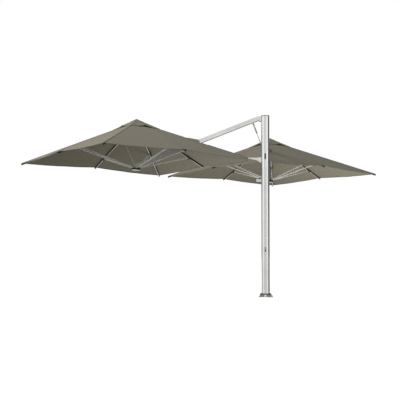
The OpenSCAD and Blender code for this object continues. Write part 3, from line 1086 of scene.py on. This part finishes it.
def thicken(obj: bpy.types.Object, thickness: float) -> None:
    """Gives a sheet its thickness, downwards, with a crisp cut edge.

    Args:
        obj: The sheet.
        thickness: Of the cloth, in metres.
    """
    modifier = obj.modifiers.new("cloth", "SOLIDIFY")
    modifier.thickness = thickness
    modifier.offset = -1
    apply_modifiers(obj)
    obj.data.set_sharp_from_angle(angle=math.radians(50))


def apply_modifiers(obj: bpy.types.Object) -> None:
    """Turns a piece's modifiers into its mesh.

    Args:
        obj: The piece.
    """
    depsgraph = bpy.context.evaluated_depsgraph_get()
    made = bpy.data.meshes.new_from_object(obj.evaluated_get(depsgraph))
    old = obj.data
    obj.modifiers.clear()
    obj.data = made
    bpy.data.meshes.remove(old)


# ---------------------------------------------------------------- the parasol's sub-assemblies


@dataclass
class Canopy:
    """The cloth of one canopy and its vent cap, with hems, seams, apex patch and finial."""

    frame: dict
    palette: Palette
    side: Side

    cloth_t: float = 0.0012
    vent_r: float = 0.330
    hem_w: float = 0.034
    hem_t: float = 0.0030
    seam_w: float = 0.015
    cap_r: float = 0.423
    cap_rise: float = 0.047
    cap_lift: float = 0.031
    slot: tuple[float, float, float] = (1.030, 1.275, 0.038)
    hood: Hood = Hood()
    folded_share: float = 0.065
    folded_cap_share: float = 0.30
    patch_r: float = 0.125

    def __post_init__(self) -> None:
        """Reads the canopy's place and size from the frame."""
        low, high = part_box(f"{self.side.value}_canopy")
        self.centre = joint_place(self.frame, f"{self.side.value}_hub_level").to_2d().to_3d()
        self.place = Matrix.Translation(self.centre) @ self.side.turn
        own = [self.place.inverted() @ corner for corner in (low, high)]
        self.apex_z = apex_height(self.frame, self.side)
        self.corner_r = max(abs(corner.y) for corner in own)
        self.cut_r = max(corner.x for corner in own)
        self.corner_drop = self.apex_z - low.z - MM
        self.roof = Roof(
            apex_z=self.apex_z,
            corner_r=self.corner_r - 0.006,
            corner_drop=self.corner_drop,
            edge_drop=EDGE_DROP,
            hole_r=self.vent_r,
            sag=0.020,
            scallop=0.008,
            flutter=0.004,
        )
        cap_corner_z = self.apex_z - self.cap_r * self.corner_drop / self.corner_r + 0.006
        cap_middle_r = self.cap_r / math.sqrt(2)
        cap_middle_z = self.apex_z - cap_middle_r * EDGE_DROP / (self.corner_r / math.sqrt(2)) + self.cap_lift
        peak = self.apex_z + self.cap_rise
        self.cap_roof = Roof(
            apex_z=peak,
            corner_r=self.cap_r,
            corner_drop=peak - cap_corner_z,
            edge_drop=peak - cap_middle_z,
            hole_r=self.patch_r * 0.72,
            sag=0.013,
            scallop=0.0,
            flutter=0.001,
        )

    def build(self) -> None:
        """Makes every piece of the canopy."""
        for spoke in all_spokes(self.side):
            for hand in (1, -1):
                self.add_half(spoke, hand)
            self.add_seam(spoke)
        self.add_patch()
        self.add_finial()

    def add_half(self, spoke: Spoke, hand: int) -> None:
        """Makes half of the cloth over one rib and half of the vent cap's, with their hems.

        Args:
            spoke: The rib under it.
            hand: 1 for the anticlockwise half, -1 for the other.
        """
        word = "a" if hand > 0 else "b"
        by_mast = spoke.by_mast
        panel = Panel(
            spoke, hand, self.roof, 9, 26, self.cut_r if by_mast else None, self.slot if by_mast else None
        )
        cap = Panel(spoke, hand, self.cap_roof, 5, 9)
        hood = self.hood if by_mast else None
        for part, shape, share, node in (
            ("canopy", panel, self.folded_share, f"{self.side.value}_canopy"),
            ("vent_cap", cap, self.folded_cap_share, f"{self.side.value}_vent_cap"),
        ):
            name = f"{self.side.value}_{part}_{spoke.kind.value}_{spoke.number}{word}"
            cloth = panel_mesh(
                name,
                shape,
                self.place,
                self.palette[Finish.CLOTH],
                self.cloth_t,
                hood=hood if part == "canopy" else None,
            )
            length = (shape.spot(0, 1) - shape.spot(0, 0)).length
            hem = panel_mesh(
                f"{name}_hem",
                shape,
                self.place,
                self.palette[Finish.HEM],
                self.hem_t,
                1 - self.hem_w / length,
                (self.hem_t - self.cloth_t) / 2,
            )
            for cut in (cloth, hem):
                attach(cut, spoke.rib)
                axis = self.side.turn @ shape.fold_axis()
                anchor = self.place @ shape.spot(0, 0)
                if by_mast:
                    anchor = anchor + axis * self.slot[2]
                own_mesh(cut)
            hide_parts(node)
            width, long = shape.flat_size()
            shape.flat_area()

    def add_seam(self, spoke: Spoke) -> None:
        """Makes the doubled seam tape over one rib, with a gap where the arm comes out.

        Args:
            spoke: The rib under it.
        """
        hole_r = self.vent_r if spoke.kind is Kind.CORNER else self.vent_r / math.sqrt(2)
        runs = [(hole_r + 0.004, self.roof.rim(spoke.azimuth) - 0.02)]
        if spoke.by_mast:
            runs = [(self.vent_r + 0.004, self.hood.start - 0.01), (self.slot[1] + 0.01, self.cut_r - 0.02)]
        slope = math.atan2(
            self.corner_drop if spoke.kind is Kind.CORNER else EDGE_DROP,
            self.corner_r if spoke.kind is Kind.CORNER else self.corner_r / math.sqrt(2),
        )
        top = self.place @ Vector((0, 0, self.apex_z))
        frame = along_rib(top, spoke.outward, slope)
        bands: list[Drawing] = []
        for start, end in runs:
            middle = (start + end) / 2 / math.cos(slope)
            size = ((end - start) / math.cos(slope), self.seam_w, 0.0020)
            bands.append(rounded_block(size, 0.0006, frame @ Matrix.Translation((middle, 0, 0.0)), 2))
        tape = piece(f"{spoke.rib}_seam_tape", bands, self.palette[Finish.CLOTH])
        give_flat_uv(tape)
        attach(tape, spoke.rib)

    def add_patch(self) -> None:
        """Makes the round patch sewn over the vent cap's peak, which stays on the crown in the fold."""
        rings = [0.03, 0.055, 0.08, 0.10, self.patch_r]
        sides = 48

        def draw(bm: bmesh.types.BMesh) -> None:
            uv = bm.loops.layers.uv.new(CLOTH_UV)
            loops = []
            for radius in rings:
                loops.append([])
                for i in range(sides):
                    turn = 2 * math.pi * i / sides
                    x, y = radius * math.cos(turn), radius * math.sin(turn)
                    spot = Vector((x, y, self.cap_roof.height(x, y) + 0.0028))
                    loops[-1].append(bm.verts.new(self.place @ spot))
            for inner, outer in zip(loops, loops[1:]):
                for i in range(sides):
                    j = (i + 1) % sides
                    bm.faces.new([inner[i], outer[i], outer[j], inner[j]])
            for face in bm.faces:
                for loop in face.loops:
                    loop[uv].uv = loop.vert.co.xy

        patch = piece(f"{self.side.value}_apex_patch", [draw], self.palette[Finish.CLOTH], 60)
        thicken(patch, 0.002)
        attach(patch, f"{self.side.value}_crown")
        size = 2 * self.patch_r
        size * size * 0.78

    def add_finial(self) -> None:
        """Makes the moulded button that clamps the cloth's peak to the crown's spindle."""
        top = self.apex_z + self.cap_rise
        profile = [(0, -0.020), (0.031, -0.020), (0.032, -0.016), (0.030, -0.012), (0.022, -0.006)]
        profile += [(0.012, -0.0015), (0.006, 0.0), (0, 0.0005)]
        place = self.place @ Matrix.Translation((0, 0, top))
        finial = piece(f"{self.side.value}_finial", [lathe(profile, place, 40)], self.palette[Finish.HEM], 50)
        give_flat_uv(finial)
        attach(finial, f"{self.side.value}_crown")


def give_flat_uv(obj: bpy.types.Object) -> None:
    """Lays a small piece's cloth pattern straight down on it.

    Args:
        obj: The piece.
    """
    layer = obj.data.uv_layers.new(name=CLOTH_UV)
    for loop in obj.data.loops:
        layer.data[loop.index].uv = obj.data.vertices[loop.vertex_index].co.xy


@dataclass
class Skeleton:
    """The ribs, struts, hub and crown under one canopy, with their joint cheeks, pins and end caps."""

    frame: dict
    palette: Palette
    side: Side

    rib_w: float = 0.016
    rib_h: float = 0.032
    rail_h: float = 0.012
    eye_len: float = 0.022
    tip_len: float = 0.026
    bar_out: float = 0.0124
    bar_h: float = 0.020

    def __post_init__(self) -> None:
        """Reads the canopy's slopes from the frame."""
        low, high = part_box(f"{self.side.value}_canopy")
        across = high.y - low.y if self.side is Side.LEFT else high.x - low.x
        corner_r = across / 2
        self.slope = {
            Kind.CORNER: math.atan2(apex_height(self.frame, self.side) - low.z - MM, corner_r),
            Kind.MIDDLE: math.atan2(EDGE_DROP, corner_r / math.sqrt(2)),
        }

    def rib_frame(self, spoke: Spoke) -> Matrix:
        """Returns the frame at a rib's pivot, with +X down the rib."""
        return along_rib(joint_place(self.frame, f"{spoke.rib}_fold"), spoke.outward, self.slope[spoke.kind])

    def build(self) -> None:
        """Dresses the frame parts and makes the small pieces."""
        for spoke in all_spokes(self.side):
            length = self.dress_rib(spoke)
            self.add_tip(spoke, length)
            self.dress_strut(spoke)
        self.dress_hub()

    def dress_rib(self, spoke: Spoke) -> float:
        """Finishes a rib's tube, rail, eye, joint block and tip, and paints the tube's sides black as shade.

        Args:
            spoke: The rib's spoke.

        Returns:
            The rib's length from its pivot.
        """
        obj = self.frame["nodes"][spoke.rib]
        obj.data.materials.clear()
        obj.data.materials.append(self.palette[Finish.RIB])
        obj.data.materials.append(self.palette[Finish.NYLON])
        back = self.rib_frame(spoke).inverted()
        length = max((back @ vert.co).x for vert in obj.data.vertices)
        rail_low = self.rib_h / 2 - self.rail_h
        slack = 0.0002
        for face in obj.data.polygons:
            spot = back @ face.center
            tube = self.eye_len < spot.x < length - self.tip_len
            tube = tube and -self.rib_h / 2 - slack < spot.z < rail_low + slack
            below = (back.to_3x3() @ face.normal).z < -0.5
            # Only the tube's downward faces keep the aluminium; its sides get the black nylon as painted
            # shade
            face.material_index = 0 if tube and below else 1
        soften(obj, 0.0012)
        return length

    def add_tip(self, spoke: Spoke, length: float) -> None:
        """Makes the moulded cap that the cloth's pocket hooks on, at a rib's outer end.

        Args:
            spoke: The rib.
            length: Of the rib from its pivot.
        """
        frame = self.rib_frame(spoke)
        wide = 0.024
        if spoke.by_mast:
            wide = 0.020
        elif spoke.kind is Kind.MIDDLE:
            # It folds down between the two bars of its strut
            wide = 0.0158
        body = Matrix.Translation((length - 0.015, 0, 0.001))
        lip = Matrix.Translation((length - 0.006, 0, 0.012))
        tip = piece(
            f"{spoke.rib}_tip_cap",
            [
                rounded_block((0.034, wide, 0.024), 0.006, frame @ body, 4),
                rounded_block((0.016, wide * 0.72, 0.010), 0.004, frame @ lip, 3),
            ],
            self.palette[Finish.NYLON],
        )
        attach(tip, spoke.rib)

    def dress_strut(self, spoke: Spoke) -> None:
        """Finishes a strut, and adds its joint cheeks and, except on the strut by the mast, the heads of its
        two pins.

        Args:
            spoke: The strut's spoke.
        """
        obj = self.frame["nodes"][spoke.strut]
        dress(obj, self.palette[Finish.STRUT])
        obj.data.materials.append(self.palette[Finish.NYLON])
        # The strut's downward faces get the black nylon: painted shade along its bars
        for face in obj.data.polygons:
            if face.normal.z < -0.5:
                face.material_index = 1
        soften(obj, 0.0008)
        foot = joint_place(self.frame, f"{spoke.strut}_fold")
        along = spoke.outward
        top = self.far_pin(obj, foot, along)
        over = UP.cross(along)
        rib = self.rib_frame(spoke)
        pin = rib.inverted() @ top
        length, tall, thick = (0.040, 0.028, 0.0022) if spoke.by_mast else (0.064, 0.034, 0.0070)
        cheeks, heads = [], []
        for hand in (1, -1):
            out = over * hand
            face = self.bar_out + 0.0002
            middle = Matrix.Translation((pin.x, hand * (face + thick / 2), pin.z - 0.005))
            cheeks.append(rounded_block((length, thick, tall), min(0.004, thick * 0.4), rib @ middle, 3))
            if not spoke.by_mast:
                heads.append(pin_head(0.0075, 0.004, facing(top + out * (face + thick + 0.0004), out)))
                heads.append(pin_head(0.0075, 0.004, facing(foot + out * face, out)))
        made = piece(f"{spoke.rib}_joint_cheeks", cheeks, self.palette[Finish.NYLON])
        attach(made, spoke.rib)
        if heads:
            pins = piece(f"{spoke.strut}_pin_heads", heads, self.palette[Finish.STEEL])
            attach(pins, spoke.strut)

    def far_pin(self, strut: bpy.types.Object, foot: Vector, along: Vector) -> Vector:
        """Returns the middle of a strut's outer pin: a bar's half depth in from its outer end.

        Args:
            strut: The strut's frame part.
            foot: The middle of its inner pin.
            along: Its level direction.

        Returns:
            The point.
        """
        half, end_len = self.bar_h / 2, 0.03
        spots = [vert.co for vert in strut.data.vertices]
        reach = max((spot - foot).dot(along) for spot in spots)
        end = [spot.z for spot in spots if (spot - foot).dot(along) > reach - end_len]
        rise = math.atan2((min(end) + max(end)) / 2 - foot.z, reach - half)
        length = math.hypot(reach - half, max(spot.z for spot in spots) - half - foot.z)
        return foot + along * (length * math.cos(rise)) + UP * (length * math.sin(rise))

    def dress_hub(self) -> None:
        """Finishes the hub, its plate and the crown, and adds the plate's screws."""
        side = self.side.value
        nodes = self.frame["nodes"]
        dress(nodes[f"{side}_hub"], self.palette[Finish.HUB_NYLON])
        dress(nodes[f"{side}_hub_plate"], self.palette[Finish.BRACKET])
        dress(nodes[f"{side}_crown"], self.palette[Finish.NYLON])
        for part in ("hub", "hub_plate", "crown"):
            soften(nodes[f"{side}_{part}"], 0.0012)
        low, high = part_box(f"{side}_hub_plate")
        centre = (low + high) / 2
        screws = [
            pin_head(
                0.005,
                0.002,
                facing(Vector((centre.x + 0.05 * math.cos(a), centre.y + 0.05 * math.sin(a), low.z)), -UP),
            )
            for a in (math.radians(45 + 90 * i) for i in range(4))
        ]
        made = piece(f"{side}_hub_plate_screws", screws, self.palette[Finish.STEEL])
        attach(made, f"{side}_hub")


def dress(obj: bpy.types.Object, material: bpy.types.Material) -> None:
    """Gives a frame part one material."""
    obj.data.materials.clear()
    obj.data.materials.append(material)


@dataclass
class Arm:
    """One arm with its gas spring, corner tongue and hub pin."""

    frame: dict
    palette: Palette
    side: Side

    pin_half_w: float = 0.0295

    def build(self) -> None:
        """Finishes the arm and its neighbours and adds the small pieces."""
        side = self.side.value
        nodes = self.frame["nodes"]
        self.dress_beams(nodes[f"{side}_arm"])
        dress(nodes[f"{side}_gas_rod"], self.palette[Finish.ROD])
        dress(nodes[f"{side}_gas_cylinder"], self.palette[Finish.GAS_PAINT])
        dress(nodes[f"{side}_tongue"], self.palette[Finish.BRACKET])
        soften(nodes[f"{side}_arm"], 0.0015)
        soften(nodes[f"{side}_tongue"], 0.0020)
        soften(nodes[f"{side}_gas_cylinder"], 0.0015)
        self.add_hub_pin()
        self.add_gas_trim()

    def dress_beams(self, arm: bpy.types.Object) -> None:
        """Gives the arm its streaked finish, and paints the underside of each beam charcoal as a shadow line.

        Args:
            arm: The arm's frame part.
        """
        dress(arm, self.palette[self.side.arm_finish])
        arm.data.materials.append(self.palette[Finish.STRIP])
        # Faces turned down get the charcoal: a painted shadow line under each beam
        for face in arm.data.polygons:
            if face.normal.z < -0.7:
                face.material_index = 1

    def add_hub_pin(self) -> None:
        """Makes the button heads of the pin that the hub hangs on."""
        hub = joint_place(self.frame, f"{self.side.value}_hub_level")
        across = self.side.turn @ Vector((0, 1, 0))
        heads = [
            pin_head(0.015, 0.006, facing(hub + across * self.pin_half_w * hand, across * hand))
            for hand in (1, -1)
        ]
        made = piece(f"{self.side.value}_hub_pin_heads", heads, self.palette[Finish.STEEL])
        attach(made, f"{self.side.value}_arm")

    def add_gas_trim(self) -> None:
        """Makes the nylon gland round the gas spring's rod and the collar at its closed end."""
        side = self.side.value
        foot = joint_place(self.frame, f"{side}_gas_rod_swing")
        top_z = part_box(f"{side}_gas_cylinder")[1].z
        outward = self.side.turn @ Vector((-1, 0, 0))
        spots = [vert.co for vert in self.frame["nodes"][f"{side}_gas_cylinder"].data.vertices]
        across_eye = [spot.dot(outward) for spot in spots if spot.z > top_z - 0.02]
        eye = outward * ((min(across_eye) + max(across_eye)) / 2) + UP * (top_z - 0.011)
        direction = (eye - foot).normalized()
        reach = min((spot - foot).dot(direction) for spot in spots)
        gland = [(0.0056, 0.0), (0.0115, 0.0), (0.0134, 0.003)]
        gland += [(0.0134, 0.011), (0.0131, 0.012), (0.0056, 0.012)]
        collar = [(0.0128, 0.0), (0.0142, 0.001), (0.0142, 0.009), (0.0128, 0.010)]
        trim = piece(
            f"{side}_gas_spring_trim",
            [
                lathe(gland + [gland[0]], facing(foot + direction * (reach - 0.0118), direction), 32),
                lathe(collar + [collar[0]], facing(foot + direction * (reach + 0.150), direction), 32),
            ],
            self.palette[Finish.NYLON],
        )
        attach(trim, f"{side}_gas_cylinder")


class BoltSpot(NamedTuple):
    """A bolt on the mast: how far beside the middle, how high, how proud its seat is, and its radius."""

    beside: float
    height: float
    proud: float
    radius: float


class Insert(NamedTuple):
    """A black insert in one of the mast's slots: the height of its middle, its width and how tall it is."""

    height: float
    width: float
    tall: float


INSERTS = (
    Insert(2.431, 0.012, 0.022),
    Insert(2.357, 0.018, 0.034),
    Insert(1.256, 0.010, 0.010),
    Insert(1.035, 0.010, 0.010),
    Insert(0.801, 0.020, 0.072),
)
COVER_PLATE = Insert(2.391, 0.024, 0.100)


@dataclass
class Mast:
    """The mast with its cap, base, brackets and pads, and the bolts that hold them."""

    frame: dict
    palette: Palette

    bolt_pitch: float = 0.208
    insert_gap: float = 0.0006
    channel_w: float = 0.038
    channel_d: float = 0.0025

    def build(self) -> None:
        """Finishes every part that stays with the mast and adds bolts and slot inserts."""
        nodes = self.frame["nodes"]
        for node, finish, edge in (
            ("mast", Finish.MAST, 0.0016),
            ("mast_cap", Finish.NYLON, 0.0015),
            ("base_plate", Finish.STEEL, 0.0012),
            ("base_collar", Finish.COLLAR, 0.0025),
            ("arm_brackets", Finish.BRACKET, 0.0015),
            ("hinge_pins", Finish.STEEL, 0.0010),
            ("gas_brackets", Finish.BRACKET, 0.0010),
            ("tongue_brackets", Finish.BRACKET, 0.0012),
            ("buffer_brackets", Finish.BRACKET, 0.0012),
            ("buffer_pads", Finish.RUBBER, 0.0015),
        ):
            dress(nodes[node], self.palette[finish])
            soften(nodes[node], edge)
        self.dress_channels()
        self.dress_wedges()
        self.add_base_bolts()
        self.add_bracket_bolts()
        self.add_inserts()

    def dress_channels(self) -> None:
        """Gives the channel down each face a finish of its own, and paints shade on the chamfers between
        faces.
        """
        mast = self.frame["nodes"]["mast"]
        mast.data.materials.append(self.palette[Finish.CHANNEL])
        mast.data.materials.append(self.palette[Finish.CHAMFER])
        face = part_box("mast")[1].x
        floor = face - self.channel_d
        for polygon in mast.data.polygons:
            spot = polygon.center
            beside, out = sorted((abs(spot.x), abs(spot.y)))
            if abs(out - floor) < self.channel_d / 2 and beside < self.channel_w / 2 + MM:
                polygon.material_index = 1
            # The chamfers get the darker copy of the aluminium, which is painted shade
            elif min(abs(polygon.normal.x), abs(polygon.normal.y)) > 0.5:
                polygon.material_index = 2

    def dress_wedges(self) -> None:
        """Gives the collar's four clamp wedges a bright finish, and paints a dark shadow band on its top."""
        collar = self.frame["nodes"]["base_collar"]
        collar.data.materials.append(self.palette[Finish.WEDGE])
        collar.data.materials.append(self.palette[Finish.COLLAR_TOP])
        half_w, inner, wedge_top = 0.0181, 0.070, 0.0455
        for face in collar.data.polygons:
            spot = face.center
            beside, out = sorted((abs(spot.x), abs(spot.y)))
            if beside < half_w and out > inner and spot.z < wedge_top:
                face.material_index = 1
            # Above the wedges the collar is painted charcoal, as a painted shadow band
            elif spot.z > wedge_top:
                face.material_index = 2

    def add_base_bolts(self) -> None:
        """Makes the four floor bolts with their washers and stud ends."""
        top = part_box("base_plate")[1].z
        drawings: list[Drawing] = []
        for x in (-1, 1):
            for y in (-1, 1):
                spot = Vector((x * self.bolt_pitch / 2, y * self.bolt_pitch / 2, top))
                drawings += bolt(0.0105, 0.008, facing(spot, UP))
                stud = [(0, 0.009), (0.005, 0.009), (0.005, 0.0155), (0.004, 0.0165), (0, 0.0165)]
                drawings.append(lathe(stud, facing(spot, UP), 16))
        made = piece("floor_bolts", drawings, self.palette[Finish.STEEL])
        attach(made, "mast")

    def add_bracket_bolts(self) -> None:
        """Makes the bolts that hold each bracket to the mast, between and beside its cheeks."""
        for side in Side:
            drawings: list[Drawing] = []
            hinge = joint_place(self.frame, f"{side.value}_arm_fold")
            foot = joint_place(self.frame, f"{side.value}_gas_rod_swing")
            tongue = joint_place(self.frame, f"{side.value}_tongue_fold")
            buffer_z = sum(corner.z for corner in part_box("buffer_brackets")) / 2
            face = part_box("mast")[1].x
            out = side.turn @ Vector((-1, 0, 0))
            bolts = [BoltSpot(0.0, hinge.z - drop, 0.008, 0.0085) for drop in (0.046, 0.024)]
            for rise in (0.026, -0.026):
                bolts += [BoltSpot(beside, foot.z + rise, 0.005, 0.0042) for beside in (0.0155, -0.0155)]
            bolts.append(BoltSpot(0.0, tongue.z - 0.048, 0.006, 0.0075))
            bolts += [BoltSpot(0.0, buffer_z + rise, 0.006, 0.0065) for rise in (0.035, -0.034)]
            for spot in bolts:
                seat = side.turn @ Vector((-face - spot.proud, spot.beside, spot.height))
                drawings += bolt(spot.radius, spot.radius * 0.62, facing(seat, out))
            made = piece(f"{side.value}_bracket_bolts", drawings, self.palette[Finish.STEEL])
            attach(made, "mast")

    def add_inserts(self) -> None:
        """Makes the black inserts in the slots of two faces, with the latch in the lowest slot."""
        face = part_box("mast")[1].x
        depth = 0.004
        inserts: list[Drawing] = []
        latches: list[Drawing] = []
        for turn in (0, 90):
            turned = Matrix.Rotation(math.radians(turn), 4, "Z")
            for insert in INSERTS:
                place = turned @ Matrix.Translation((0, -face + depth - 0.0006, insert.height))
                size = (insert.width - self.insert_gap, 0.0011, insert.tall - self.insert_gap)
                inserts.append(rounded_block(size, 0.0003, place, 1))
            # A cover plate joins the two upper slots
            place = turned @ Matrix.Translation((0, -face + self.channel_d - 0.0010, COVER_PLATE.height))
            inserts.append(rounded_block((COVER_PLATE.width, 0.0020, COVER_PLATE.tall), 0.0008, place, 2))
            place = turned @ Matrix.Translation((0, -face + 0.0022, 0.812))
            latches.append(rounded_block((0.010, 0.0036, 0.030), 0.0012, place, 3))
        made = piece("mast_slot_inserts", inserts, self.palette[Finish.NYLON])
        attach(made, "mast")
        latch = piece("mast_latches", latches, self.palette[Finish.STEEL])
        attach(latch, "mast")


# ---------------------------------------------------------------- studio


SMOOTH_STEP = {"interpolation_type": "SMOOTHSTEP"}


@dataclass(frozen=True)
class Studio:
    """The camera, a plain pale floor and soft light."""

    eye: tuple[float, float, float] = (0.4523, -11.6731, 0.7377)
    yaw: float = -0.1347
    pitch: float = 0.0776
    roll: float = 0.0048
    lens_mm: float = 61.39
    sensor_mm: float = 36.0
    floor_side: float = 160.0
    key_at: tuple[float, float, float] = (-9.5, -4.5, 8.5)
    key_aim: tuple[float, float, float] = (-2.0, 0.5, 2.4)
    key_watts: float = 950.0
    fill_at: tuple[float, float, float] = (0.7, 1.4, 0.25)
    fill_aim: tuple[float, float, float] = (0.0, 2.1, 2.6)
    fill_watts: float = 75.0

    def add_camera(self) -> None:
        """Sets the camera at table height, turned a little to the left."""
        data = bpy.data.cameras.new("camera")
        data.lens = self.lens_mm
        data.sensor_width = self.sensor_mm
        data.clip_end = 400
        camera = bpy.data.objects.new("camera", data)
        turn = Matrix.Rotation(-self.yaw, 4, "Z") @ Matrix.Rotation(math.pi / 2 + self.pitch, 4, "X")
        turn = turn @ Matrix.Rotation(self.roll, 4, "Z")
        camera.matrix_world = Matrix.Translation(self.eye) @ turn
        bpy.context.scene.collection.objects.link(camera)
        bpy.context.scene.camera = camera

    def add_floor(self) -> None:
        """Makes the pale floor."""
        mesh = bpy.data.meshes.new("floor")
        half = self.floor_side / 2
        corners = [(-half, -half, 0), (half, -half, 0), (half, half, 0), (-half, half, 0)]
        mesh.from_pydata(corners, [], [(0, 1, 2, 3)])
        floor = bpy.data.objects.new("floor", mesh)
        bpy.context.scene.collection.objects.link(floor)
        material, tree = new_material("pale_floor")
        shader = add_node(
            tree,
            "ShaderNodeBsdfPrincipled",
            None,
            {
                "Base Color": linear("#f4f4f4"),
                "Roughness": 0.9,
                "Specular IOR Level": 0.0,
                "Emission Color": linear("#ffffff"),
                "Emission Strength": 0.80,
            },
        )
        add_node(tree, "ShaderNodeOutputMaterial", None, {"Surface": shader.outputs[0]})
        mesh.materials.append(material)
        # The floor is bright to look at, but throws no light up into the canopies
        floor.visible_diffuse = False
        floor.visible_glossy = False

    def add_world(self) -> None:
        """Makes a white surround, with most light from the front, the back, above and low on the left."""
        world = bpy.data.worlds.new("studio")
        bpy.context.scene.world = world
        world.use_nodes = True
        tree = world.node_tree
        tree.nodes.clear()
        place = add_node(tree, "ShaderNodeTexCoord")
        split = add_node(tree, "ShaderNodeSeparateXYZ", None, {0: place.outputs["Generated"]})

        # Each smooth step runs along one axis of the direction, from one level to another
        steps = {
            "sides": ("X", -0.7, 0.9, 0.30, 0.10),
            "front": ("Y", -0.55, -0.92, 0.0, 0.85),
            "front_by_height": ("Z", -0.06, 0.10, 0.76, 1.0),
            "rear": ("Y", 0.5, 0.95, 0.0, 0.48),
            "above": ("Z", 0.25, 0.9, 0.0, 0.30),
        }
        lobes: dict[str, bpy.types.NodeSocket] = {}
        for name, (axis, start, end, low, high) in steps.items():
            levels = {"From Min": start, "From Max": end, "To Min": low, "To Max": high}
            inputs = {"Value": split.outputs[axis], **levels}
            lobes[name] = add_node(tree, "ShaderNodeMapRange", SMOOTH_STEP, inputs).outputs[0]
        low_left = add_node(
            tree,
            "ShaderNodeVectorMath",
            {"operation": "DOT_PRODUCT"},
            {0: place.outputs["Generated"], 1: (-0.75, -0.20, -0.63)},
        ).outputs["Value"]
        bounce = add_node(
            tree,
            "ShaderNodeMapRange",
            SMOOTH_STEP,
            {"Value": low_left, "From Min": 0.62, "From Max": 0.97, "To Min": 0.0, "To Max": 1.05},
        ).outputs[0]
        product = {0: lobes["front"], 1: lobes["front_by_height"]}
        front = add_node(tree, "ShaderNodeMath", {"operation": "MULTIPLY"}, product).outputs[0]
        level = lobes["sides"]
        for lobe in (front, lobes["rear"], lobes["above"], bounce):
            level = add_node(tree, "ShaderNodeMath", {"operation": "ADD"}, {0: level, 1: lobe}).outputs[0]
        light = add_node(
            tree, "ShaderNodeBackground", None, {"Color": linear("#ffffff"), "Strength": level}
        )
        seen = add_node(tree, "ShaderNodeBackground", None, {"Color": linear("#ffffff"), "Strength": 1.0})
        path = add_node(tree, "ShaderNodeLightPath")
        both = add_node(
            tree,
            "ShaderNodeMixShader",
            None,
            {0: path.outputs["Is Camera Ray"], 1: light.outputs[0], 2: seen.outputs[0]},
        )
        add_node(tree, "ShaderNodeOutputWorld", None, {"Surface": both.outputs[0]})

    def add_panel_light(
        self, name: str, at: Sequence[float], aim: Sequence[float], size: float, watts: float, glossy: bool
    ) -> None:
        """Makes a square soft light.

        Args:
            name: Its name.
            at: Its centre.
            aim: The point that it faces.
            size: Its side.
            watts: Its power.
            glossy: Whether polished surfaces mirror it.
        """
        data = bpy.data.lights.new(name, "AREA")
        data.shape = "SQUARE"
        data.size = size
        data.energy = watts
        light = bpy.data.objects.new(name, data)
        light.matrix_world = facing(Vector(at), (Vector(at) - Vector(aim)).normalized())
        light.visible_camera = False
        light.visible_glossy = glossy
        bpy.context.scene.collection.objects.link(light)

    def build(self) -> None:
        """Makes the whole studio."""
        self.add_camera()
        self.add_floor()
        self.add_world()
        self.add_panel_light("key", self.key_at, self.key_aim, 5.0, self.key_watts, True)
        # The floor lights nothing, so this stands in for its glow under the rear canopy
        self.add_panel_light("floor_bounce", self.fill_at, self.fill_aim, 2.4, self.fill_watts, False)
        bpy.context.scene.view_settings.view_transform = "Standard"


def main() -> None:
    """Builds the parasol and its studio."""
    logging.basicConfig(level=logging.INFO, format="%(name)s: %(message)s")
    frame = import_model()
    Studio().build()
    palette = Palette()
    Mast(frame, palette).build()
    LOG.info("mast, base and brackets")
    for side in Side:
        Arm(frame, palette, side).build()
        LOG.info("%s arm", side.value)
        Skeleton(frame, palette, side).build()
        LOG.info("%s ribs, struts and hub", side.value)
        Canopy(frame, palette, side).build()
        LOG.info("%s canopy and vent cap", side.value)
    bpy.context.view_layer.update()


if __name__ == "__main__":
    main()
